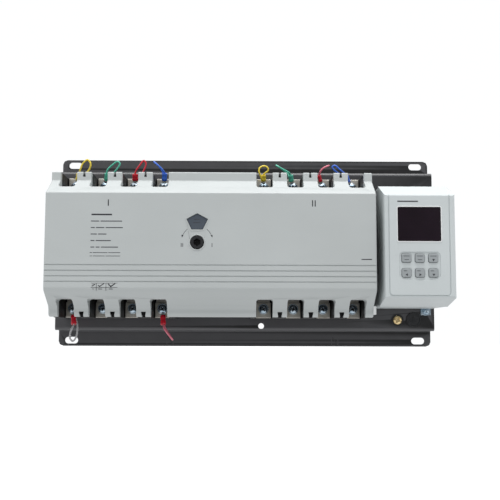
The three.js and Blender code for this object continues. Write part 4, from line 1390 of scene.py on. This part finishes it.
@dataclass
class Breakers:
    """The two breakers: mouldings, terminals with their screws, toggles and contacts."""

    screw_z: float = 0.0619
    pad_front: float = -0.0485
    lug_front: float = -0.0497

    def build(self) -> None:
        """Builds both breakers and the sixteen terminal screws."""
        for breaker in BREAKERS:
            for part in ("case", "lid"):
                node = f"breaker_{part}_{breaker}"
                show(f"{node}_moulding", Rounding(0.0004, 2).apply(welded(node)),
                     Finish.BLACK_MOULDING, replaces=[node])
            show(f"toggle_{breaker}_lever", Rounding(0.0005).apply(welded(f"toggle_{breaker}")),
                 Finish.DARK_PLASTIC, f"toggle_{breaker}", [f"toggle_{breaker}"])
            show(f"contact_bar_{breaker}_arms",
                 Rounding(0.0003, 2).apply(welded(f"contact_bar_{breaker}")),
                 Finish.SILVER, f"contacts_{breaker}", [f"contact_bar_{breaker}"])
            for end in ENDS:
                self._terminals(breaker, end)
        self._screws()

    def _terminals(self, breaker: str, end: str) -> None:
        """Builds the four tinned terminals at one end of a breaker.

        Args:
            breaker: the breaker's name.
            end: which end, line or load.
        """
        for pole in POLES:
            node = f"terminal_{breaker}_{end}_{pole}"
            show(f"{node}_bar", Rounding(0.0004, 2).apply(welded(node)), Finish.TINNED,
                 replaces=[node])

    def _screws(self) -> None:
        """Puts a screw on every terminal, over the ring lug where a lead is fitted, with a dark
        cross of painted shade in each recess.
        """
        fitted = {route.terminal for route in LEAD_ROUTES}
        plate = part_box("base_plate")
        middle = (plate[0].z + plate[1].z) / 2
        spots = []
        for breaker in BREAKERS:
            for end in ENDS:
                for pole in POLES:
                    node = f"terminal_{breaker}_{end}_{pole}"
                    low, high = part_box(node)
                    side = 1 if end == "line" else -1
                    seat = self.lug_front if node in fitted else self.pad_front
                    spots.append(((low.x + high.x) / 2, seat, middle + side * self.screw_z))
        head = screw_head(0.0043, 0.0027, 0.0052, 0.0026)
        shank = lathed([(0, -0.0008), (0.0026, -0.0008), (0.0026, 0.0082), (0.0022, 0.009),
                        (0, 0.009)], (0, 0), 24)
        ScatterTree().grow("terminal_screws", merged([head, shank]), spots, Finish.ZINC, turn=1.5)
        # Painted shade: a thin dark cross on each screw's recess floor stands in for the shadow
        # inside the recess.
        floor = -0.0009 - 0.0027 * 0.34
        recess_painted_shade = merged([block((-a, floor, -b), (a, floor + 0.0004, b))
                        for a, b in ((0.0025, 0.00058), (0.00058, 0.0025))])
        ScatterTree().grow("terminal_screw_recesses", recess_painted_shade, spots, Finish.DARK_PLASTIC, turn=1.5)


@dataclass
class Drive:
    """The geared drive between the breakers, all of it under the cover."""

    disc_front: float = -0.0985

    def build(self) -> None:
        """Builds each piece on the body that carries it, then the disc's marks."""
        pieces = (("mechanism_frame", Finish.SHEET, CHASSIS, 0.0004),
                  ("shaft_bush", Finish.BRASS, CHASSIS, 0.0003),
                  ("drive_motor", Finish.MOTOR, CHASSIS, 0.0006),
                  ("limit_switch_block", Finish.DARK_PLASTIC, CHASSIS, 0.0004),
                  ("operating_shaft", Finish.DARK_PLASTIC, "drive_shaft", 0.0003),
                  ("drive_gear", Finish.GEAR, "drive_shaft", 0.00015),
                  ("indicator_disc", Finish.INDICATOR, "drive_shaft", 0.0002),
                  ("motor_pinion", Finish.BRASS, "motor_rotor", 0.00015),
                  ("slide_normal", Finish.SHEET, "slide_normal", 0.00015),
                  ("slide_reserve", Finish.SHEET, "slide_reserve", 0.00015))
        for node, finish, body, radius in pieces:
            show(f"{node}_finished", Rounding(radius, 2).apply(welded(node)), finish, body, [node])
        self._disc_marks()

    def _disc_marks(self) -> None:
        """Prints I, 0 and II round the indicator disc."""
        low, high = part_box("shaft_bush")
        hub = Vector(((low.x + high.x) / 2, 0, (low.z + high.z) / 2))
        ink = Ink(self.disc_front)
        strokes = []
        for turn, mark in ((54, "I"), (0, "0"), (-54, "II")):
            angle = math.radians(90 + turn)
            centre = (hub.x + 0.0195 * math.cos(angle), hub.z + 0.0195 * math.sin(angle))
            strokes += ink.numeral(mark, centre, 0.0062, 0.0009, math.radians(turn))
        show("indicator_marks", merged(strokes), Finish.PRINT, "drive_shaft")


@dataclass
class Ink:
    """Thin printed marks on a flat face that looks towards -Y."""

    face: float
    proud: float = 0.00006
    buried: float = 0.00008
    bar_thickness: float = 0.34
    bar_level: float = 0.42
    bar_step: float = 0.8
    bar_gap: float = 0.3

    def stroke(self, start: Pair, end: Pair, width: float) -> bmesh.types.BMesh:
        """One straight printed stroke from point to point.

        Args:
            start: the stroke's first point.
            end: its last point.
            width: its width.

        Returns:
            The stroke's solid.
        """
        along = Vector(end) - Vector(start)
        along.normalize()
        side = Vector((-along.y, along.x)) * width / 2
        reach = along * width / 2
        first, last = Vector(start) - reach, Vector(end) + reach
        corners = [first - side, last - side, last + side, first + side]
        return prism([tuple(corner) for corner in corners], Axis.Y, self.face - self.proud,
                     self.face + self.buried)

    def line(self, points: Sequence[Pair], width: float) -> list[bmesh.types.BMesh]:
        """A printed line through points."""
        return [self.stroke(a, b, width) for a, b in zip(points, points[1:])]

    def patch(self, points: Sequence[Pair]) -> bmesh.types.BMesh:
        """A printed filled shape."""
        return prism(points, Axis.Y, self.face - self.proud, self.face + self.buried)

    def numeral(self, mark: str, centre: Pair, height: float, width: float,
                turn: float = 0.0) -> list[bmesh.types.BMesh]:
        """A position mark: I, II or 0.

        Args:
            mark: which of the three.
            centre: its middle.
            height: its height.
            width: the stroke's width.
            turn: how far it leans, in radians, counter-clockwise from the front.

        Returns:
            The strokes.
        """
        half = height / 2
        lean = Matrix.Rotation(turn, 2)
        if mark == "0":
            ring = [Vector((0.32 * height * math.cos(a), half * math.sin(a)))
                    for a in (math.tau * step / 16 for step in range(17))]
            return self.line([tuple(Vector(centre) + lean @ point) for point in ring], width)
        offsets = [0.0] if mark == "I" else [-width * 1.25, width * 1.25]
        strokes = []
        for offset in offsets:
            ends = [tuple(Vector(centre) + lean @ Vector((offset, z))) for z in (-half, half)]
            strokes.append(self.stroke(*ends, width))
        return strokes

    def bars(self, start: Pair, height: float, lengths: Sequence[int]) -> list[bmesh.types.BMesh]:
        """A row of plain bars that stands where small print is, with nothing in it to read.

        Args:
            start: the row's lower left corner.
            height: the row's height.
            lengths: the length of each bar, in steps.

        Returns:
            The bars.
        """
        thick = height * self.bar_thickness
        strokes = []
        x, z = start
        for length in lengths:
            run = length * height * self.bar_step
            level = z + height * self.bar_level
            strokes.append(self.stroke((x + thick / 2, level), (x + run - thick, level), thick))
            x += run + height * self.bar_gap
        return strokes


@dataclass
class MainCover:
    """The one-piece cover: stepped section, cable slots, grooves, hub hole and window."""

    back: float = -0.079
    ledge: float = -0.086
    face: float = -0.110
    half: float = 0.071
    ledge_half: float = 0.062
    face_half: float = 0.0465
    wall: float = 0.0025
    end_wall: float = 0.002
    slot_half: float = 0.008
    slot_inner: float = 0.054
    slot_radius: float = 0.0026
    lining: float = 0.002
    grooves: tuple[float, ...] = (-0.0226, -0.028, -0.0332, -0.0384)
    groove_depth: float = 0.0008
    hub_radius: float = 0.0066
    lower_ease: float = 3.6
    window: tuple[Pair, ...] = ((0, 0.0277), (-0.0102, 0.0222), (-0.0054, 0.0122),
                                (0.0054, 0.0122), (0.0102, 0.0222))

    def __post_init__(self) -> None:
        """Reads where the cover, the hub and the poles are from the CAD nodes."""
        self.low, self.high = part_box("main_cover")
        self.middle = (self.low.z + self.high.z) / 2
        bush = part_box("shaft_bush")
        self.hub = ((bush[0].x + bush[1].x) / 2, (bush[0].z + bush[1].z) / 2)
        self.poles = [[(box[0].x + box[1].x) / 2 for box in
                       (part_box(f"terminal_{breaker}_line_{pole}") for pole in POLES)]
                      for breaker in BREAKERS]

    def build(self) -> None:
        """Builds the cover, its raised rims, the pane and the printed marks."""
        show("main_cover_moulding", self._shell(), Finish.COVER, replaces=["main_cover"])
        show("hub_collar", self._hub_collar(), Finish.COVER)
        show("window_rim", self._window_rim(), Finish.COVER)
        show("window_pane", Rounding(0.0004, 2).apply(welded("indicator_window")),
             Finish.SMOKED, replaces=["indicator_window"])
        pane = Ink(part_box("indicator_window")[0].y)
        x, z = self.hub[0], self.hub[1]
        rows = [*pane.bars((x - 0.0032, z + 0.0212), 0.0015, (5,)),
                *pane.bars((x - 0.0040, z + 0.0182), 0.0015, (6,))]
        show("window_print", merged(rows), Finish.PRINT)
        show("cover_latch_tab", self._latch_tab(), Finish.WHITE_PLASTIC)
        self._print()

    def _section(self, inset: float) -> list[Pair]:
        """The cover's section as (y, z), drawn in by an inset; its open side lies further back.

        Args:
            inset: how far the outline is drawn in.

        Returns:
            The section's points.
        """
        slope = (self.ledge_half - self.face_half) / (self.ledge - self.face)
        shift = inset * math.hypot(1, slope)
        back = self.back + (0.001 if inset else 0.0)
        ledge, face = self.ledge + inset, self.face + inset

        def on_slope(y: float) -> float:
            """The slope's half height at a depth."""
            return self.ledge_half + (y - self.ledge) * slope - shift

        eased = 0.0 if inset else 1.0
        half = [(back, self.half - inset, 0.0), (ledge, self.half - inset, 0.0012 * eased),
                (ledge, on_slope(ledge), 0.0018 * eased), (face, on_slope(face), 0.0016 * eased)]
        mirrored = [(y, -z, r * self.lower_ease) for y, z, r in reversed(half)]
        return [(y, z + self.middle) for y, z in filleted(half + mirrored, 8)]

    def _slot_tools(self) -> list[bmesh.types.BMesh]:
        """The tools that cut the cable slots and the barrier grooves between them.

        Returns:
            The cutting solids.
        """
        tools = []
        reach = 0.03
        for centres in self.poles:
            for end in (-1, 1):
                for x in centres:
                    slot = rectangle(x, self.middle + end * (self.slot_inner + reach / 2),
                                     2 * self.slot_half, reach, self.slot_radius, 8)
                    tools.append(prism(slot, Axis.Y, self.face - 0.001, self.back + 0.001))
                for left, right in zip(centres, centres[1:]):
                    x = (left + right) / 2
                    mouth, root = (0.0008, 0.0013) if end > 0 else (0.0015, 0.0024)
                    notch = [(x - mouth, self.half + 0.0005), (x - root, self.half - 0.005),
                             (x + root, self.half - 0.005), (x + mouth, self.half + 0.0005)]
                    tools.append(prism([(u, self.middle + v * end) for u, v in notch], Axis.Y,
                                       self.ledge - 0.001, self.back + 0.0005))
        return tools

    def _cavity(self) -> bmesh.types.BMesh:
        """The space inside the cover, less the walls that line its cable slots.

        Returns:
            The cavity's solid.
        """
        cavity = prism(self._section(self.wall), Axis.X, self.low.x + self.end_wall,
                       self.high.x - self.end_wall)
        linings = []
        for centres in self.poles:
            for end in (-1, 1):
                near, far = sorted((self.middle + end * (self.slot_inner - self.lining),
                                    self.middle + end * (self.half + 0.001)))
                for x in centres:
                    width = self.slot_half + self.lining
                    linings.append(block((x - width, self.face - 0.001, near),
                                         (x + width, self.back + 0.002, far)))
        return combined(cavity, linings, "DIFFERENCE")

    def _window_outline(self, growth: float) -> list[tuple[float, float, float]]:
        """The window's five corners, each moved outwards by a growth.

        Args:
            growth: how far the outline is let out.

        Returns:
            The outline's points.
        """
        centre = 0.02
        corners = []
        for u, v in self.window:
            length = math.hypot(u, v - centre)
            scale = (length + growth) / length
            corners.append((self.hub[0] + u * scale, self.hub[1] + centre + (v - centre) * scale,
                            0.0005))
        return corners

    def _shell(self) -> bmesh.types.BMesh:
        """The cover's moulding with every opening cut and its edges eased.

        Returns:
            The shell's solid.
        """
        block_out = Rounding(0.0011, 4, 50.0, clamp=False).apply(
            prism(self._section(0.0), Axis.X, self.low.x, self.high.x))
        deep = (self.face - 0.001, self.face + self.wall + 0.001)
        tools = [*self._slot_tools(),
                 prism(circle(*self.hub, self.hub_radius, 48), Axis.Y, *deep),
                 prism(filleted(self._window_outline(0.0), 4), Axis.Y, *deep)]
        shell = combined(block_out, [self._cavity()], "DIFFERENCE")
        shell = flattened(combined(shell, tools, "DIFFERENCE"))
        shell = Rounding(0.0003, 2, 48.0, clamp=False).apply(shell)
        cuts = []
        for z in self.grooves:
            z += self.middle
            mouth, floor = 0.00056, 0.0004
            front = self.face - 0.0002
            cuts.append(prism([(front, z - mouth), (front, z + mouth),
                               (self.face + self.groove_depth, z + floor),
                               (self.face + self.groove_depth, z - floor)], Axis.X,
                              self.low.x - 0.001, self.high.x + 0.001))
        return combined(shell, cuts, "DIFFERENCE")

    def _hub_collar(self) -> bmesh.types.BMesh:
        """The thin raised ring round the hub hole.

        Returns:
            The collar's solid.
        """
        inner, outer, front = self.hub_radius + 0.0002, self.hub_radius + 0.0012, self.face
        return lathed([(inner, front + 0.0003), (inner, front - 0.0002),
                       (inner + 0.0002, front - 0.0004), (outer - 0.0002, front - 0.0004),
                       (outer, front - 0.0002), (outer, front + 0.0003)], self.hub, 64)

    def _window_rim(self) -> bmesh.types.BMesh:
        """The thin raised rim round the window.

        Returns:
            The rim's solid.
        """
        rim = prism(filleted(self._window_outline(0.0014), 4), Axis.Y, self.face - 0.0004,
                    self.face + 0.0003)
        hole = prism(filleted(self._window_outline(0.0003), 4), Axis.Y, self.face - 0.002,
                     self.face + 0.002)
        return Rounding(0.00015, 2).apply(flattened(combined(rim, [hole], "DIFFERENCE")))

    def _latch_tab(self) -> bmesh.types.BMesh:
        """The small white tab that stands out of the cover's lower right corner.

        Returns:
            The tab's solid.
        """
        low = (self.high.x - 0.0004, self.ledge - 0.0015, self.middle - 0.0682)
        high = (self.high.x + 0.0024, self.ledge + 0.006, self.middle - 0.0600)
        return Rounding(0.0005).apply(block(low, high))

    def _print(self) -> None:
        """Prints the source marks, the rating block, the pictograms and the hub's arrows."""
        ink = Ink(self.face)
        middle = self.middle
        bold, faint = [], []
        bold += ink.numeral("I", (-0.1305, middle + 0.0366), 0.0050, 0.0010)
        bold += ink.numeral("II", (0.0648, middle + 0.0366), 0.0050, 0.0010)
        bold += ink.bars((-0.1462, middle + 0.0234), 0.0042, (6,))
        rows = (((4, 10), 0.0178), ((2, 4, 8), 0.0116), ((3, 4), 0.0054), ((2, 7), -0.0008),
                ((2, 2, 8), -0.0070))
        for lengths, z in rows:
            faint += ink.bars((-0.1466, middle + z), 0.0026, lengths)
        for lengths, z in (((2, 11, 9), -0.0118), ((2, 9, 11), -0.0150)):
            faint += ink.bars((-0.1472, middle + z), 0.0016, lengths)
        bold += ink.bars((0.1096, middle - 0.0178), 0.0026, (5,))
        bold += self._hub_marks(ink)
        bold += self._pictograms(ink)
        show("cover_print_dark", merged(bold), Finish.PRINT)
        show("cover_print_fine", merged(faint), Finish.PALE_PRINT)

    def _hub_marks(self, ink: Ink) -> list[bmesh.types.BMesh]:
        """The two arrows beside the hub and the position marks under them.

        Args:
            ink: the printer that lays marks on the cover's face.

        Returns:
            The strokes.
        """
        x, z = self.hub
        strokes = []
        for side, mark in ((-1, "II"), (1, "I")):
            points = [(x + side * 0.0094, z + 0.0124), (x + side * 0.0118, z + 0.0098),
                      (x + side * 0.0138, z + 0.0064)]
            strokes += ink.line(points, 0.0004)
            tip = (x + side * 0.0145, z + 0.0046)
            strokes.append(ink.patch([tip, (x + side * 0.0128, z + 0.0064),
                                      (x + side * 0.0147, z + 0.0071)]))
            strokes += ink.numeral(mark, (x + side * 0.0142, z - 0.0026), 0.0030, 0.0006)
        return strokes

    def _pictograms(self, ink: Ink) -> list[bmesh.types.BMesh]:
        """Three boxed pictograms of the switch's positions over the lower slots.

        Args:
            ink: the printer that lays marks on the cover's face.

        Returns:
            The strokes.
        """
        z0, z1 = self.middle - 0.0462, self.middle - 0.0400
        edges = (-0.1452, -0.1402, -0.1312, -0.1206)
        strokes = [ink.stroke((edges[0], z1), (edges[-1], z1), 0.0003),
                   ink.stroke((edges[0], z0 + 0.0022), (edges[-1], z0 + 0.0022), 0.0004)]
        for x in edges[1:-1]:
            strokes.append(ink.stroke((x, z0 - 0.0008), (x, z1), 0.0004))
        level = z0 + 0.0028
        strokes += ink.line([(-0.1441, level + 0.0008), (-0.1416, level + 0.0022)], 0.0008)
        strokes += ink.line([(-0.1441, level + 0.0024), (-0.1421, level + 0.0024)], 0.0003)
        strokes += ink.line([(-0.1384, level + 0.0012), (-0.1371, level + 0.0003),
                             (-0.1334, level + 0.0029)], 0.0008)
        strokes += ink.line([(-0.1290, level + 0.0026), (-0.1266, level + 0.0003),
                             (-0.1228, level + 0.0030)], 0.0010)
        for x, lengths in ((-0.1438, (1,)), (-0.1384, (3,)), (-0.1284, (3,))):
            strokes += ink.bars((x, z0), 0.0016, lengths)
        return strokes


@dataclass
class Controller:
    """The control unit: case, front moulding, screen, six keys, board and its bracket."""

    split: float = -0.080
    front: float = -0.118
    seam: float = 0.0003
    front_bottom: float = -0.0528
    front_top: float = 0.0438
    wall: float = 0.0022
    edge: float = 0.003
    panel: tuple[float, float, float] = (0.1342, 0.1922, -0.0516)
    screen: tuple[float, float, float, float] = (0.1633, 0.01615, 0.041, 0.0327)
    keypad: tuple[float, float, float, float] = (0.1633, -0.0365, -0.0101, 0.0194)
    key_size: Pair = (0.0088, 0.0082)
    key_front: float = -0.1188

    def __post_init__(self) -> None:
        """Reads the unit's limits and its keys' places from the CAD nodes."""
        self.low, self.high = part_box("controller_case")
        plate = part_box("base_plate")
        self.middle = (plate[0].z + plate[1].z) / 2
        self.keys = []
        for index in range(1, 7):
            low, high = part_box(f"key_{index}")
            self.keys.append(((low.x + high.x) / 2, (low.z + high.z) / 2))

    def build(self) -> None:
        """Builds the unit from its case outwards."""
        show("controller_case_moulding", self._case(), Finish.CONTROLLER,
             replaces=["controller_case"])
        show("controller_front_moulding", self._front(), Finish.CONTROLLER,
             replaces=["controller_front"])
        show("screen_glass", Rounding(0.0002, 2).apply(welded("controller_screen")),
             Finish.SCREEN, replaces=["controller_screen"])
        show("screen_border", self._screen_border(), Finish.WHITE_PLASTIC)
        show("board_with_switches", Rounding(0.0002, 2).apply(welded("controller_board")),
             Finish.BOARD, replaces=["controller_board"])
        show("bracket_strip", Rounding(0.0004, 2).apply(welded("controller_bracket")),
             Finish.ZINC, replaces=["controller_bracket"])
        self._bracket_screw()
        for index, centre in enumerate(self.keys, 1):
            self._key(index, centre)
        self._print()

    def _case(self) -> bmesh.types.BMesh:
        """The case: a deep tray with rounded corners, open to the front.

        Returns:
            The case's solid.
        """
        low, high = self.low, self.high
        outline = rectangle((low.x + high.x) / 2, (low.z + high.z) / 2, high.x - low.x,
                            high.z - low.z, self.edge, 10)
        tray = prism(outline, Axis.Y, self.split, high.y)
        inner = block((low.x + self.wall, self.split - 0.001, low.z + self.wall),
                      (high.x - self.wall, high.y - self.wall, high.z - self.wall))
        return Rounding(0.0005, 3).apply(flattened(combined(tray, [inner], "DIFFERENCE")))

    def _front_block(self, inset: float) -> bmesh.types.BMesh:
        """The front moulding's solid, drawn in by an inset.

        Args:
            inset: how far the solid is drawn in.

        Returns:
            The block's solid.
        """
        low, high = self.low, self.high
        rear = self.split - self.seam + (0.001 if inset else 0.0)
        front = self.front + inset
        eased = 0.0 if inset else 0.0014
        section = filleted([(rear, low.z + inset, 0.0),
                            (front, self.middle + self.front_bottom + inset, eased),
                            (front, self.middle + self.front_top - inset, eased),
                            (rear, high.z - inset, 0.0)], 8)
        round_edge = max(self.edge - inset, 0.0005)
        plan = filleted([(low.x + inset, rear, 0.0), (low.x + inset, front, round_edge),
                         (high.x - inset, front, round_edge), (high.x - inset, rear, 0.0)], 10)
        return combined(prism(section, Axis.X, low.x - 0.001, high.x + 0.001),
                        [prism(plan, Axis.Z, low.z - 0.001, high.z + 0.001)], "INTERSECT")

    def _panel_outline(self, inset: float) -> list[Pair]:
        """The groove's outline, which leaves the face at its top.

        Args:
            inset: how far the outline is drawn in.

        Returns:
            The outline's points.
        """
        left, right, bottom = self.panel
        top = self.front_top + 0.006
        height = top - bottom - inset
        return rectangle((left + right) / 2, self.middle + top - height / 2,
                         right - left - 2 * inset, height, 0.0035 - inset, 8)

    def _keypad_outline(self) -> list[Pair]:
        """The key recess, which is bowed a little at its bottom.

        Returns:
            The outline's points.
        """
        x, bottom, top, half = self.keypad
        bottom, top = self.middle + bottom, self.middle + top
        return filleted([(x - half, top, 0.004), (x - half, bottom + 0.0014, 0.004),
                         (x, bottom - 0.0008, 0.06), (x + half, bottom + 0.0014, 0.004),
                         (x + half, top, 0.004)], 8)

    def _front(self) -> bmesh.types.BMesh:
        """The front moulding: shell, groove, screen aperture, key recess and key holes.

        Returns:
            The front moulding's solid.
        """
        front = self.front
        deep = (front - 0.001, front + self.wall + 0.001)
        x, z, width, height = self.screen
        ring = combined(prism(self._panel_outline(0.0), Axis.Y, front - 0.001, front + 0.0009),
                        [prism(self._panel_outline(0.0009), Axis.Y, front - 0.002, front + 0.002)],
                        "DIFFERENCE")
        tools = [prism(rectangle(x, self.middle + z, width, height, 0.0012, 6), Axis.Y, *deep),
                 prism(self._keypad_outline(), Axis.Y, front - 0.001, front + 0.0008)]
        shell = combined(self._front_block(0.0), [self._front_block(self.wall)], "DIFFERENCE")
        shell = combined(shell, tools, "DIFFERENCE")
        holes = [prism(rectangle(*centre, self.key_size[0] + 0.0006, self.key_size[1] + 0.0006,
                                 0.002, 6), Axis.Y, *deep) for centre in self.keys]
        shell = flattened(combined(shell, [*holes, ring], "DIFFERENCE"))
        return Rounding(0.0002, 2, 48.0, clamp=False).apply(shell)

    def _screen_border(self) -> bmesh.types.BMesh:
        """The thin light border round the screen.

        Returns:
            The border's solid.
        """
        x, z, width, height = self.screen
        z += self.middle
        rim = prism(rectangle(x, z, width + 0.0016, height + 0.0016, 0.002, 6), Axis.Y,
                    self.front - 0.0003, self.front + 0.0002)
        hole = prism(rectangle(x, z, width - 0.0002, height - 0.0002, 0.0012, 6), Axis.Y,
                     self.front - 0.002, self.front + 0.002)
        return Rounding(0.0001, 2).apply(flattened(combined(rim, [hole], "DIFFERENCE")))

    def _bracket_screw(self) -> None:
        """The screw that fixes the bracket's lower end to the deck."""
        low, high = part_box("controller_bracket_screw")
        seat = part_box("controller_bracket")[0].y
        x, z = (low.x + high.x) / 2, (low.z + high.z) / 2
        head = screw_head(0.0028, 0.0020, 0.0036, 0.0017)
        head.transform(Matrix.Translation((x, seat, z)) @ Matrix.Rotation(0.35, 4, "Y"))
        shank = lathed([(0, seat - 0.0005), (0.002, seat - 0.0005), (0.002, high.y - 0.0005),
                        (0.0016, high.y), (0, high.y)], (x, z), 20)
        show("bracket_screw_turned", merged([head, shank]), Finish.ZINC,
             replaces=["controller_bracket_screw"])

    def _key(self, index: int, centre: Pair) -> None:
        """Builds one key and prints its symbol.

        Args:
            index: the key's number, left to right from the top row.
            centre: its x and z.
        """
        x, z = centre
        low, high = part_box(f"key_{index}")
        cap = Rounding(0.0007, 4, 60.0).apply(
            prism(rectangle(x, z, *self.key_size, 0.0018, 8), Axis.Y, self.key_front,
                  self.front + self.wall + 0.0008))
        flange = Rounding(0.0003, 2).apply(
            block((low.x, self.front + self.wall + self.seam, low.z),
                  (high.x, self.front + self.wall + 0.0018, high.z)))
        root = self.front + self.wall + 0.0015
        stem = lathed([(0, root), (0.0016, root), (0.0016, high.y - 0.0002), (0.0014, high.y),
                       (0, high.y)], centre, 20)
        body = f"key_{index}"
        show(f"{body}_cap", merged([cap, flange, stem]), Finish.KEY, body, [body])
        ink = Ink(self.key_front)
        arrow = [Vector((0, 0.0013)), Vector((-0.0013, -0.0009)), Vector((0.0013, -0.0009))]
        turns = {3: math.pi, 4: math.pi / 2, 5: -math.pi / 2, 6: math.pi}
        marks = ink.bars((x - 0.0030, z + 0.0012), 0.0015, (5 if index < 4 else 3,))
        if index in turns:
            turn = Matrix.Rotation(turns[index], 2)
            marks.append(ink.patch([tuple(Vector((x, z - 0.0018)) + turn @ p) for p in arrow]))
        else:
            marks.append(ink.stroke((x - 0.0018, z - 0.0016), (x + 0.0018, z - 0.0016), 0.0005))
        show(f"{body}_symbol", merged(marks), Finish.PRINT, body)

    def _print(self) -> None:
        """Prints a plain bar over the screen."""
        ink = Ink(self.front)
        marks = ink.bars((self.screen[0] - self.screen[2] / 2, self.middle + 0.0362), 0.0036, (7,))
        show("controller_print", merged(marks), Finish.PALE_PRINT)


def main() -> None:
    """Builds the view, the leads and every sub-assembly."""
    Camera().build()
    for route in LEAD_ROUTES:
        SensingLead(route).build()
    Studio().build()
    BasePlate().build()
    Breakers().build()
    Drive().build()
    MainCover().build()
    Controller().build()
    bpy.context.view_layer.update()


if __name__ == "__main__":
    main()
